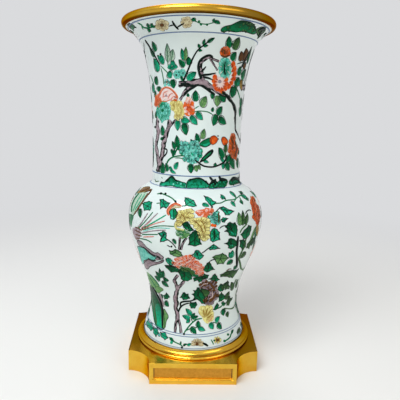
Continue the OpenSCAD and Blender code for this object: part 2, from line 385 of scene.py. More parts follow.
@dataclass
class VaseOutline:
    """The porcelain's outline, in millimetres, as the solid has it."""

    foot_z: float = 34.0
    foot_r: float = 78.5
    foot_edge: float = 1.5
    foot_rim_h: float = 9.0
    foot_rim_w: float = 8.0
    ankle: Pair = (67.2, 88.0)
    belly: Pair = (100.0, 222.0)
    waist: Pair = (65.0, 276.0)
    waist_blend: float = 3.0
    neck_r: float = 64.2
    neck_low_z: float = 309.0
    neck_high_z: float = 323.0
    lip_r: float = 104.5
    lip_z: float = 493.5
    lip_lean: float = math.radians(53)
    lip_sweep: float = 21.0
    wall: float = 5.5
    lip_t: float = 4.2
    floor_t: float = 9.0
    floor_round: float = 14.0
    rod_hole_r: float = 4.4
    foot_pulls: Pair = (0.39, 0.26)
    body_pulls: Pair = (0.39, 0.345)
    throat_pulls: Pair = (0.3, 0.4)
    shoulder_pulls: Pair = (0.17, 0.34)
    trumpet_pull: float = 0.9
    steps: int = 26
    waist_steps: int = 8
    lip_steps: int = 12
    round_steps: int = 7

    def __post_init__(self) -> None:
        """Works out the outer and inner lines."""
        self.lip_along = np.array([math.sin(self.lip_lean), math.cos(self.lip_lean)])
        self.lip_under = np.array([math.cos(self.lip_lean), -math.sin(self.lip_lean)])
        self.lip_centre = np.array([self.lip_r - self.lip_t / 2, self.lip_z])
        self.foot_line = self._sway(np.array([self.foot_r, self.foot_z + self.foot_edge]),
                                    np.array(self.ankle), self.foot_pulls)
        self.upper_line, self.thickness = self._upper()

    def _sway(self, low: np.ndarray, high: np.ndarray, pulls: Pair) -> np.ndarray:
        """Gives an upright S curve between two points."""
        rise = np.array([0, high[1] - low[1]])
        return cubic(low, low + rise * pulls[0], high - rise * pulls[1], high, self.steps)

    def _upper(self) -> tuple[np.ndarray, np.ndarray]:
        """Gives the outer line from the ankle to the lip, and the wall's thickness along it.

        Returns:
            Points of the line, one row each, and the thickness at each.
        """
        ankle, belly, waist = (np.array(p) for p in (self.ankle, self.belly, self.waist))
        drop = belly - waist
        aim = drop * np.array([1, self.shoulder_pulls[1]])
        waist_low = waist + self.waist_blend * unit(aim)
        waist_high = waist + np.array([0, self.waist_blend])
        neck_low = np.array([self.neck_r, self.neck_low_z])
        neck_high = np.array([self.neck_r, self.neck_high_z])
        lip_outer = self.lip_centre + self.lip_under * self.lip_t / 2
        trumpet = cubic(neck_high,
                        neck_high + np.array([0, (lip_outer - neck_high)[1] * self.trumpet_pull]),
                        lip_outer - self.lip_along * self.lip_sweep, lip_outer, 2 * self.steps)
        line = np.vstack([
            ankle[None], self._sway(ankle, belly, self.body_pulls),
            cubic(belly, belly - np.array([0, drop[1] * self.shoulder_pulls[0]]), waist + aim,
                  waist_low, self.steps),
            cubic(waist_low, (waist_low + waist) / 2, (waist + waist_high) / 2, waist_high,
                  self.waist_steps),
            self._sway(waist_high, neck_low, self.throat_pulls), neck_high[None], trumpet])
        along = np.clip((np.arange(len(line)) - (len(line) - len(trumpet) - 1)) / len(trumpet),
                        0, 1)
        return line, self.wall + (self.lip_t - self.wall) * along ** 2

    def set_off(self, gap: np.ndarray | float) -> np.ndarray:
        """Gives the outer line moved square to itself, outwards where the gap is positive.

        Args:
            gap: How far it moves, everywhere or at each point.

        Returns:
            Points of the moved line.
        """
        ahead = np.gradient(self.upper_line, axis=0)
        ahead[0], ahead[-1] = (0, 1), self.lip_along
        ahead /= np.linalg.norm(ahead, axis=1)[:, None]
        side = np.stack([ahead[:, 1], -ahead[:, 0]], axis=1)
        return self.upper_line + side * np.broadcast_to(gap, len(side))[:, None]

    def lip_edge(self, radius: float, turn: Sequence[float]) -> np.ndarray:
        """Gives points round the lip's edge, from its underside over to its inside."""
        return np.array([self.lip_centre + radius * (math.cos(a) * self.lip_under
                                                     + math.sin(a) * self.lip_along)
                         for a in turn])

    def painted(self) -> np.ndarray:
        """Gives the outer line that carries the painting, from the foot rim up to the lip."""
        return np.vstack([self.foot_line, self.upper_line[1:]])

    def section(self) -> np.ndarray:
        """Gives the whole closed section, from the rod hole round the outside and back inside.

        Returns:
            Radius and height of each point.
        """
        base_z = self.foot_z + self.foot_rim_h
        floor_z = base_z + self.floor_t
        hollow_r = self.foot_r - self.foot_rim_w
        base = [(self.rod_hole_r, floor_z), (self.rod_hole_r, base_z), (hollow_r, base_z),
                (hollow_r, self.foot_z)]
        turn = np.linspace(0, math.pi / 2, self.round_steps)
        rim = [(self.foot_r - self.foot_edge * (1 - math.sin(a)),
                self.foot_z + self.foot_edge * (1 - math.cos(a))) for a in turn]
        edge = self.lip_edge(self.lip_t / 2, np.linspace(0, math.pi, self.lip_steps)[1:-1])
        inner = self.set_off(-self.thickness)[::-1]
        floor_r = self.ankle[0] - self.wall
        bowl = [(floor_r - self.floor_round * (1 - math.cos(a)),
                 floor_z + self.floor_round * (1 - math.sin(a))) for a in turn]
        return np.vstack([base, rim, self.painted(), edge, inner, bowl])


def revolve(section: np.ndarray, segments: int, name: str) -> bpy.types.Mesh:
    """Turns a closed section round the upright axis.

    Args:
        section: Radius and height of each point, in millimetres, as a closed line.
        segments: Number of steps round the axis.
        name: The mesh's name.

    Returns:
        A closed mesh in metres, with faces outwards.
    """
    angles = np.arange(segments) * 2 * math.pi / segments
    radius, height = section[:, 0] * MM, section[:, 1] * MM
    rings = np.stack([np.outer(np.sin(angles), radius), np.outer(-np.cos(angles), radius),
                      np.broadcast_to(height, (segments, len(section)))], axis=2)
    count = len(section)
    faces = []
    for turn in range(segments):
        here, there = turn * count, (turn + 1) % segments * count
        for i in range(count):
            j = (i + 1) % count
            faces.append((here + i, there + i, there + j, here + j))
    mesh = bpy.data.meshes.new(name)
    mesh.from_pydata(rings.reshape(-1, 3).tolist(), [], faces)
    with edited(mesh) as work:
        bmesh.ops.remove_doubles(work, verts=work.verts, dist=MERGE_GAP)
        bmesh.ops.recalc_face_normals(work, faces=work.faces)
    return smoothed(mesh)


@contextmanager
def edited(mesh: bpy.types.Mesh) -> Iterator[bmesh.types.BMesh]:
    """Opens a mesh for editing and writes it back at the end.

    Args:
        mesh: The mesh to edit.

    Returns:
        A context that holds the mesh in its editable form.
    """
    work = bmesh.new()
    work.from_mesh(mesh)
    yield work
    work.to_mesh(mesh)
    work.free()


def smoothed(mesh: bpy.types.Mesh) -> bpy.types.Mesh:
    """Shades a mesh smooth, with its sharp edges kept, and gives it back.

    Args:
        mesh: The mesh to shade.

    Returns:
        The same mesh.
    """
    mesh.shade_smooth()
    mesh.set_sharp_from_angle(angle=math.radians(SHARP_ANGLE))
    return mesh


def stain(mesh: bpy.types.Mesh, rule: Callable[[Vector], float]) -> None:
    """Writes how dark each point of a mesh is painted, which on the gilding is painted shade and painted
    reflection.

    Args:
        mesh: The mesh.
        rule: Gives how dark a point in millimetres is painted.
    """
    layer = mesh.attributes.new(TONE_AND_SHADE, "FLOAT", "POINT")
    for vert, value in zip(mesh.vertices, layer.data):
        value.value = min(1.0, max(0.0, rule(vert.co / MM)))


def show(data: bpy.types.ID, name: str) -> bpy.types.Object:
    """Puts a mesh, curve, lamp or camera in the scene as an object at the origin.

    Args:
        data: The mesh, curve, lamp or camera.
        name: The object's name.

    Returns:
        The object.
    """
    piece = bpy.data.objects.new(name, data)
    bpy.context.scene.collection.objects.link(piece)
    return piece


def settle(piece: bpy.types.Object, slot: str, *nodes: str) -> None:
    """Lets a finished piece ride on the vase.

    Args:
        piece: The finished piece.
        slot: The record's material slot.
        nodes: The nodes that the piece stands for.
    """
    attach(piece, BODY)
    if nodes:
        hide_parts(*nodes)
    LOG.info("%s: %d faces, slot %s", piece.name, len(piece.data.polygons), slot)


def realised(source: bpy.types.Object) -> bpy.types.Mesh:
    """Turns an object with its modifiers into a plain mesh and removes the object.

    Args:
        source: The object, which is used up.

    Returns:
        The plain mesh.
    """
    graph = bpy.context.evaluated_depsgraph_get()
    mesh = bpy.data.meshes.new_from_object(source.evaluated_get(graph), depsgraph=graph)
    bpy.data.objects.remove(source)
    return mesh


@dataclass
class PhotoCamera:
    """The camera at the photograph's viewing angle.

    Attributes:
        place: Position in millimetres.
        pitch: Degrees looked down.
        yaw: Degrees turned towards +X.
        roll: Degrees that the picture's content is turned clockwise.
        focal: Focal length in pixels of the frame.
        frame: Width and height of the frame in pixels.
        sensor: Width of the sensor in millimetres.
    """

    place: Triple = (-5.7, -633.5, 368.0)
    pitch: float = 10.87
    yaw: float = 1.12
    roll: float = 1.18
    focal: float = 425.0
    frame: float = 400.0
    sensor: float = 36.0

    def __post_init__(self) -> None:
        """Works out the camera's own axes."""
        pitch, yaw, roll = (math.radians(a) for a in (self.pitch, self.yaw, self.roll))
        ahead = np.array([math.sin(yaw) * math.cos(pitch), math.cos(yaw) * math.cos(pitch),
                          -math.sin(pitch)])
        right = unit(np.cross(ahead, (0, 0, 1)))
        up = np.cross(right, ahead)
        self.ahead = ahead
        self.right = right * math.cos(roll) + up * math.sin(roll)
        self.up = -right * math.sin(roll) + up * math.cos(roll)
        self.eye = np.array(self.place)

    def ray(self, pixel: Pixel) -> np.ndarray:
        """Gives the direction in which the camera sees a pixel."""
        half = self.frame / 2
        return unit(self.ahead + self.right * (pixel[0] - half) / self.focal
                    + self.up * (half - pixel[1]) / self.focal)

    def build(self) -> None:
        """Adds the camera to the scene."""
        data = bpy.data.cameras.new("photo_camera")
        data.sensor_fit = "HORIZONTAL"
        data.sensor_width = self.sensor
        data.lens = self.focal / self.frame * self.sensor
        camera = show(data, "photo_camera")
        axes = Matrix((self.right, self.up, -self.ahead)).transposed().to_4x4()
        camera.matrix_world = Matrix.Translation(self.eye * MM) @ axes
        bpy.context.scene.camera = camera


class VaseChart:
    """A flat map of the vase's outside: X runs round it and Y along its outline, in metres.

    A place on the map has the angle from the front times a fixed radius as X, and the length
    along the outline from the foot rim as Y.
    """

    radius = 80 * MM
    side_limit = math.radians(77)
    near, far, samples = 420.0, 780.0, 2400

    def __init__(self, outline: VaseOutline, camera: PhotoCamera) -> None:
        """Measures the outline.

        Args:
            outline: The porcelain's outline.
            camera: The camera whose pixels are mapped.
        """
        self.line = outline.painted()
        self.camera = camera
        lengths = np.linalg.norm(np.diff(self.line, axis=0), axis=1)
        self.arc = np.concatenate([[0], np.cumsum(lengths)])

    def at(self, pixel: Pixel) -> np.ndarray:
        """Maps a pixel of the photograph to the place on the vase that shows there.

        Args:
            pixel: Place in the photograph.

        Returns:
            X and Y on the map.
        """
        steps = np.linspace(self.near, self.far, self.samples)
        path = self.camera.eye + np.outer(steps, self.camera.ray(pixel))
        gap = np.hypot(path[:, 0], path[:, 1]) - np.interp(path[:, 2], self.line[:, 1],
                                                           self.line[:, 0])
        inside = np.flatnonzero(gap < 0)
        if len(inside) and inside[0]:
            last = inside[0] - 1
            share = gap[last] / (gap[last] - gap[inside[0]])
            hit = path[last] + share * (path[inside[0]] - path[last])
        else:
            hit = path[np.argmin(gap)]
        angle = math.atan2(hit[0], -hit[1])
        angle = max(-self.side_limit, min(self.side_limit, angle))
        return np.array([angle * self.radius, self.along(hit[2])])

    def along(self, height: float) -> float:
        """Gives the length along the outline, in metres, at a height in millimetres."""
        return float(np.interp(height, self.line[:, 1], self.arc)) * MM

    def path(self, pixels: Iterable[Pixel]) -> np.ndarray:
        """Maps several pixels."""
        return np.array([self.at(pixel) for pixel in pixels])

    def profile(self) -> bpy.types.Object:
        """Makes a curve of the outline, radius along X, which wrapped paint is laid on.

        Returns:
            The curve's object.
        """
        data = bpy.data.curves.new("outline_curve", "CURVE")
        data.dimensions = "3D"
        spline = data.splines.new("POLY")
        spline.points.add(len(self.line) - 1)
        for point, (radius, height) in zip(spline.points, self.line):
            point.co = (radius * MM, 0, height * MM, 1)
        return show(data, "outline_curve")


class LeafKind(Enum):
    """Outlines of painted leaves and petals: the powers that shape them."""

    POINTED = (0.74, 0.92)
    PETAL = (1.6, 0.58)


@dataclass(frozen=True)
class Leaf:
    """A painted leaf, with its ends in pixels of the photograph."""

    base: Pixel
    tip: Pixel
    width: float
    enamel: Enamel
    kind: LeafKind = LeafKind.POINTED
    lines: Enamel = Enamel.OUTLINE


class PatchStyle(Enum):
    """Ways to paint a patch: smooth, toothed and veined, full of petals, or full of scales."""

    SMOOTH = "smooth"
    TOOTHED = "toothed"
    RUFFLED = "ruffled"
    SCALED = "scaled"


@dataclass(frozen=True)
class Field:
    """A patch of enamel with its outline in pixels of the photograph.

    Attributes:
        enamel: The patch's enamel.
        outline: Its corners, in order.
        edge: Enamel of the lines round it and in it.
        style: How it is painted.
        layer: How many patches it lies over.
        shade: How dark it becomes towards its top, 0 to 1.
        mix: Enamel of some of the petals or scales in it.
    """

    enamel: Enamel
    outline: tuple[Pixel, ...]
    edge: Enamel | None = Enamel.OUTLINE
    style: PatchStyle = PatchStyle.SMOOTH
    layer: int = 0
    shade: float = 0.0
    mix: Enamel | None = None


@dataclass(frozen=True)
class Stroke:
    """A brush stroke, with its path and its width at both ends in pixels; bark makes it a branch."""

    enamel: Enamel
    path: tuple[Pixel, ...]
    width: float = 1.0
    end_width: float | None = None
    bark: bool = False


@dataclass(frozen=True)
class Bloom:
    """A flower of petals in two rings round a heart, in pixels of the photograph."""

    centre: Pixel
    reach: Pair
    petals: int
    enamel: Enamel
    inner: Enamel | None = None
    heart: Enamel | None = None
    lines: Enamel = Enamel.OUTLINE
    start: float = 0.0
    full: bool = False


@dataclass
class Laid:
    """Paint laid on the chart, along a path of X and Y."""

    enamel: Enamel
    path: np.ndarray

    def span(self) -> Pair:
        """Gives its least and greatest X on the chart."""
        return self.path[:, 0].min(), self.path[:, 0].max()

    def moved(self, flip: int, shift: float) -> Laid:
        """Gives a copy, mirrored if flip is -1, further round the vase."""
        return replace(self, path=self.path * (flip, 1) + (shift, 0))


@dataclass
class Sprig(Laid):
    """A leaf or petal, whose path is the one point that it grows from."""

    turn: float
    width: float
    length: float
    kind: LeafKind
    lines: Enamel

    def moved(self, flip: int, shift: float) -> Laid:
        """Gives such a copy with its turn mirrored too."""
        return replace(super().moved(flip, shift), turn=flip * self.turn)


@dataclass
class Area(Laid):
    """A patch, whose path is its outline."""

    layer: int
    shade: float

    def moved(self, flip: int, shift: float) -> Laid:
        """Gives such a copy with its outline still anticlockwise."""
        copy = super().moved(flip, shift)
        return replace(copy, path=copy.path[::flip])


@dataclass
class Line(Laid):
    """A line with its width at each point; an under line lies below other paint."""

    widths: np.ndarray
    under: bool = False


@dataclass
class Brushwork:
    """Everything painted, laid out on the chart."""

    chart: VaseChart
    sprigs: list[Sprig] = field(default_factory=list)
    areas: list[Area] = field(default_factory=list)
    lines: list[Line] = field(default_factory=list)
    motifs: list[list[Laid]] = field(default_factory=list)
    pixel_size: float = 1.3 * MM
    narrowest: float = 0.6
    widest: float = 2.2
    edge_width: float = 0.75
    vein_width: float = 0.6
    leaf_growth: float = 1.24
    petal_sizes: Pair = (3.0 * MM, 6.4 * MM)
    scale_step: float = 3.6 * MM
    dab_share: float = 0.4
    mix_share: float = 0.35
    stroke_step: float = 2.0
    brush_point: float = 0.55
    bark_edge: float = 1.0
    bark_swell: Pair = (0.78, 1.2)
    bark_lines: Pair = (0.5, 1.3)
    bark_core: float = 0.35
    bark_sway: float = 0.5
    grain_every: int = 4
    grain_points: int = 3
    grain_spread: float = 0.25
    vein_reach: float = 0.8
    petal_room: float = 1.7
    petal_rows: float = 0.8
    petal_scatter: float = 0.35
    petal_inset: float = 0.4
    petal_sway: float = 0.5
    petal_lengths: Pair = (0.9, 1.6)
    petal_widths: Pair = (0.7, 1.2)
    petal_overlap: float = 1.35
    outer_ring: Pair = (1.0, 0.3)
    inner_ring: Pair = (0.62, 0.1)
    fewest_petals: int = 4
    fewer_inside: int = 2
    bloom_corners: int = 16
    bloom_disc: float = 0.86
    bloom_heart: float = 0.24
    heart_layer: int = 9
    ring_points: int = 25

    def add(self, motifs: Iterable[Leaf | Field | Stroke | Bloom]) -> None:
        """Lays motifs out on the chart.

        Args:
            motifs: What to paint, in order.
        """
        ways = {Leaf: self.leaf, Field: self.patch, Stroke: self.stroke, Bloom: self.bloom}
        for motif in motifs:
            laid = (self.sprigs, self.areas, self.lines)
            counts = [len(things) for things in laid]
            ways[type(motif)](motif)
            self.motifs.append([thing for things, count in zip(laid, counts) for thing in things[count:]])

    def width(self, pixel: np.ndarray, run: np.ndarray, width: float) -> float:
        """Gives the chart width of paint that looks so many pixels wide.

        Args:
            pixel: Middle of the paint.
            run: Direction in which it runs, in pixels.
            width: Its width in pixels.

        Returns:
            Its width on the chart, in metres.
        """
        side = np.array([-run[1], run[0]]) / np.linalg.norm(run) * width / 2
        gap = self.chart.at(tuple(pixel + side)) - self.chart.at(tuple(pixel - side))
        plain = width * self.pixel_size
        return float(np.clip(np.linalg.norm(gap), plain * self.narrowest, plain * self.widest))

    def leaf(self, leaf: Leaf) -> None:
        """Lays out one leaf.

        Args:
            leaf: The leaf.
        """
        base, tip = self.chart.at(leaf.base), self.chart.at(leaf.tip)
        run = np.subtract(leaf.tip, leaf.base)
        width = self.width(np.add(leaf.tip, leaf.base) / 2, run, leaf.width)
        if leaf.kind is LeafKind.POINTED:
            width *= self.leaf_growth
        way = tip - base
        self.sprigs.append(Sprig(leaf.enamel, base[None], math.atan2(-way[0], way[1]), width,
                                 float(np.linalg.norm(way)), leaf.kind, leaf.lines))

    def patch(self, patch: Field) -> None:
        """Lays out one patch and the lines on it.

        Args:
            patch: The patch.
        """
        corners = anticlockwise(self.chart.path(patch.outline))
        leafy = patch.style is PatchStyle.TOOTHED
        outline = toothed(corners) if leafy else rounded(corners)
        self.areas.append(Area(patch.enamel, outline, patch.layer, patch.shade))
        if patch.style in (PatchStyle.RUFFLED, PatchStyle.SCALED):
            self.ruffle(patch, outline)
        if patch.edge and patch.style is not PatchStyle.RUFFLED:
            self.line(patch.edge, np.vstack([outline, outline[:1]]), self.edge_width)
        if patch.edge and leafy:
            self.veins(patch.edge, corners)

    def line(self, enamel: Enamel, path: np.ndarray, width: float) -> None:
        """Lays out a line of even width, in pixels, along a path on the chart."""
        self.lines.append(Line(enamel, path, np.full(len(path), width * self.pixel_size)))

    def veins(self, enamel: Enamel, corners: np.ndarray) -> None:
        """Draws veins from a leaf's middle towards its points.

        Args:
            enamel: Enamel of the veins.
            corners: The leaf's points and notches on the chart.
        """
        middle = corners.mean(axis=0)
        reach = np.linalg.norm(corners - middle, axis=1)
        for i, corner in enumerate(corners):
            neighbours = reach[i - 1] + reach[(i + 1) % len(reach)]
            if 2 * reach[i] >= neighbours:
                end = middle + (corner - middle) * self.vein_reach
                self.line(enamel, np.array([middle, end]), self.vein_width)

    def ruffle(self, patch: Field, outline: np.ndarray) -> None:
        """Fills an outline with ragged petals that point outwards, or with upright scales.

        Args:
            patch: The flower or mound.
            outline: Its outline on the chart, anticlockwise.
        """
        scaled = patch.style is PatchStyle.SCALED
        draw = np.random.default_rng(len(self.sprigs))
        run = np.linalg.norm(np.roll(outline, -1, axis=0) - outline, axis=1).sum()
        room = self.petal_room * area_of(outline) / run
        step = self.scale_step if scaled else float(np.clip(room, *self.petal_sizes))
        middle = outline.mean(axis=0)
        low, high = outline.min(axis=0), outline.max(axis=0)
        grid = np.array([(x, y) for y in np.arange(high[1], low[1] - step, -self.petal_rows * step)
                         for x in np.arange(low[0], high[0] + step, step)])
        grid = grid + draw.uniform(-self.petal_scatter, self.petal_scatter, grid.shape) * step
        spots = [(place, place - middle) for place in grid if within(place, outline)]
        if scaled:
            spots = [spot for spot in spots if draw.random() < self.dab_share]
        else:
            edge = np.roll(outline, -1, axis=0) - np.roll(outline, 1, axis=0)
            out = np.stack([edge[:, 1], -edge[:, 0]], axis=1) / np.linalg.norm(edge, axis=1)[:, None]
            every = max(1, round(self.petal_rows * step * len(outline) / run))
            spots += list(zip((outline - out * step * self.petal_inset)[::every], out[::every]))
        for place, way in spots:
            aim = 0 if scaled else math.atan2(-way[0], way[1])
            turn = draw.uniform(-self.petal_sway, self.petal_sway) + aim
            length = step * draw.uniform(*self.petal_lengths)
            root = place - np.array([-math.sin(turn), math.cos(turn)]) * length / 2
            mixed = scaled or draw.random() < self.mix_share
            enamel = patch.mix if patch.mix and mixed else patch.enamel
            self.sprigs.append(Sprig(enamel, root[None], turn, step * draw.uniform(*self.petal_widths),
                                     length, LeafKind.PETAL, patch.edge or enamel))

    def stroke(self, stroke: Stroke) -> None:
        """Lays out one brush stroke, or one branch between black edges.

        Args:
            stroke: The stroke or branch.
        """
        pixels = rounded(np.array(stroke.path, dtype=float), self.stroke_step, closed=False)
        last = stroke.width if stroke.end_width is None else stroke.end_width
        widths = np.linspace(stroke.width, last, len(pixels))
        if not stroke.bark:
            gone = np.concatenate([[0], np.cumsum(np.linalg.norm(np.diff(pixels, axis=0), axis=1))])
            nearest = np.minimum(gone, gone[-1] - gone)
            point = np.minimum(1, self.brush_point + nearest / (2 * stroke.width + 1))
            self.lines.append(self.laid(stroke.enamel, pixels, widths * point))
            return
        draw = np.random.default_rng(len(self.lines))
        outer = widths * draw.uniform(*self.bark_swell, len(pixels))
        self.lines.append(self.laid(Enamel.OUTLINE, pixels, outer, under=True))
        edges = 2 * self.bark_edge * draw.uniform(*self.bark_lines, len(pixels))
        inner = np.maximum(outer - edges, self.bark_core * outer)
        runs = np.gradient(pixels, axis=0)
        sides = np.stack([-runs[:, 1], runs[:, 0]], axis=1) / np.linalg.norm(runs, axis=1)[:, None]
        sway = draw.uniform(-self.bark_sway, self.bark_sway, (len(pixels), 1)) * (outer - inner)[:, None]
        self.lines.append(self.laid(stroke.enamel, pixels + sides * sway, inner))
        thin = np.full(self.grain_points, self.vein_width)
        for first in range(1, len(pixels) - self.grain_points, self.grain_every):
            part = slice(first, first + self.grain_points)
            off = draw.uniform(-self.grain_spread, self.grain_spread) * widths[part, None]
            self.lines.append(self.laid(Enamel.OUTLINE, pixels[part] + sides[part] * off, thin))

    def laid(self, enamel: Enamel, pixels: np.ndarray, widths: np.ndarray,
             under: bool = False) -> Line:
        """Lays a path and its widths, both in pixels, on the chart.

        Args:
            enamel: Its enamel.
            pixels: The path.
            widths: The width at each of its points.
            under: Whether it lies below other paint.

        Returns:
            The line on the chart.
        """
        runs = np.gradient(pixels, axis=0)
        sizes = [self.width(*each) for each in zip(pixels, runs, widths)]
        return Line(enamel, self.chart.path(map(tuple, pixels)), np.array(sizes), under)

    def bloom(self, bloom: Bloom) -> None:
        """Lays out a flower.

        Args:
            bloom: The flower.
        """
        corners = np.arange(self.bloom_corners) * 2 * math.pi / self.bloom_corners
        rim = np.stack([np.cos(corners), np.sin(corners)], axis=1) * bloom.reach
        if bloom.full:
            self.patch(Field(bloom.enamel, tuple(map(tuple, bloom.centre + rim * self.bloom_disc)), None))
        rings = [(*self.outer_ring, bloom.petals, bloom.enamel, 0.0)]
        if bloom.inner:
            rings.append((*self.inner_ring, max(self.fewest_petals, bloom.petals - self.fewer_inside),
                          bloom.inner, 0.5))
        for reach, root, count, enamel, shift in rings:
            for i in range(count):
                angle = bloom.start + (i + shift) * 2 * math.pi / count
                ray = np.array([math.cos(angle) * bloom.reach[0],
                                math.sin(angle) * bloom.reach[1]])
                width = self.petal_overlap * math.pi * reach * max(bloom.reach) / count
                self.leaf(Leaf(tuple(bloom.centre + ray * root), tuple(bloom.centre + ray * reach),
                               width, enamel, LeafKind.PETAL, bloom.lines))
        if bloom.heart:
            self.patch(Field(bloom.heart, tuple(map(tuple, bloom.centre + rim * self.bloom_heart)),
                             layer=self.heart_layer))

    def ring(self, height: float, width: float, enamel: Enamel) -> None:
        """Lays a line right round the vase at a height and of a width in millimetres.

        Args:
            height: Height of its middle.
            width: Its width.
            enamel: Its enamel.
        """
        ends = np.linspace(-math.pi, math.pi, self.ring_points) * self.chart.radius
        path = np.stack([ends, np.full(len(ends), self.chart.along(height))], axis=1)
        self.lines.append(Line(enamel, path, np.full(len(path), width * MM)))

    def repeat(self, flip: int, shift: float, low: float = -math.inf, high: float = math.inf) -> None:
        """Paints the motifs whose middles lie between two angles once more, elsewhere on the vase.

        Args:
            flip: -1 for a mirror image, otherwise 1.
            shift: How far round the vase the copy is moved after the flip, in radians.
            low: Least angle of what is copied, in radians from the front.
            high: Greatest angle of what is copied.
        """
        size = self.chart.radius
        laid = {Sprig: self.sprigs, Area: self.areas, Line: self.lines}
        for motif in self.motifs:
            ends = [end for thing in motif for end in thing.span()]
            if low * size <= (min(ends) + max(ends)) / 2 <= high * size:
                for thing in motif:
                    laid[type(thing)].append(thing.moved(flip, shift * size))


def anticlockwise(corners: np.ndarray) -> np.ndarray:
    """Gives the corners of a closed outline in anticlockwise order."""
    return corners if area_of(corners) > 0 else corners[::-1]


def area_of(corners: np.ndarray) -> float:
    """Gives the area inside a closed outline, below zero if it runs clockwise."""
    after = np.roll(corners, -1, axis=0)
    return float(np.sum(corners[:, 0] * after[:, 1] - corners[:, 1] * after[:, 0])) / 2


def within(place: np.ndarray, outline: np.ndarray) -> bool:
    """Tells whether a place lies inside a closed outline.

    Args:
        place: X and Y of the place.
        outline: The outline's points, one row each.

    Returns:
        Whether it does.
    """
    after = np.roll(outline, -1, axis=0)
    spans = (outline[:, 1] > place[1]) != (after[:, 1] > place[1])
    rise = np.where(after[:, 1] == outline[:, 1], 1, after[:, 1] - outline[:, 1])
    crossing = outline[:, 0] + (place[1] - outline[:, 1]) / rise * (after[:, 0] - outline[:, 0])
    return bool(np.sum(spans & (place[0] < crossing)) % 2)


def toothed(corners: np.ndarray, depth: float = 0.1) -> np.ndarray:
    """Draws a leaf's edge, hollow between its pointed corners.

    Args:
        corners: The leaf's points and notches, anticlockwise.
        depth: Depth of the hollows as a share of the distance between corners.

    Returns:
        Points of the edge.
    """
    points = []
    for start, end in zip(corners, np.roll(corners, -1, axis=0)):
        edge = end - start
        inward = np.array([-edge[1], edge[0]]) * depth
        points += [start + edge * share + inward * 4 * share * (1 - share)
                   for share in (0.0, 0.25, 0.5, 0.75)]
    return np.array(points)


def rounded(corners: np.ndarray, step: float = 1.1 * MM, closed: bool = True) -> np.ndarray:
    """Runs a smooth line through corners.

    Args:
        corners: The corners, one row each.
        step: Distance between the points of the result.
        closed: Whether the line comes back to its first corner.

    Returns:
        Points of the line.
    """
    ends = (corners[-1:], corners[:2]) if closed else (corners[:1], corners[-1:])
    line = np.vstack([ends[0], corners, ends[1]])
    points = []
    for a, b, c, d in zip(line, line[1:], line[2:], line[3:]):
        count = max(2, int(np.linalg.norm(c - b) / step))
        for t in np.arange(count) / count:
            points.append(0.5 * (2 * b + (c - a) * t + (2 * a - 5 * b + 4 * c - d) * t ** 2
                                 + (3 * b - a - 3 * c + d) * t ** 3))
    return np.array(points if closed else [*points, corners[-1]])


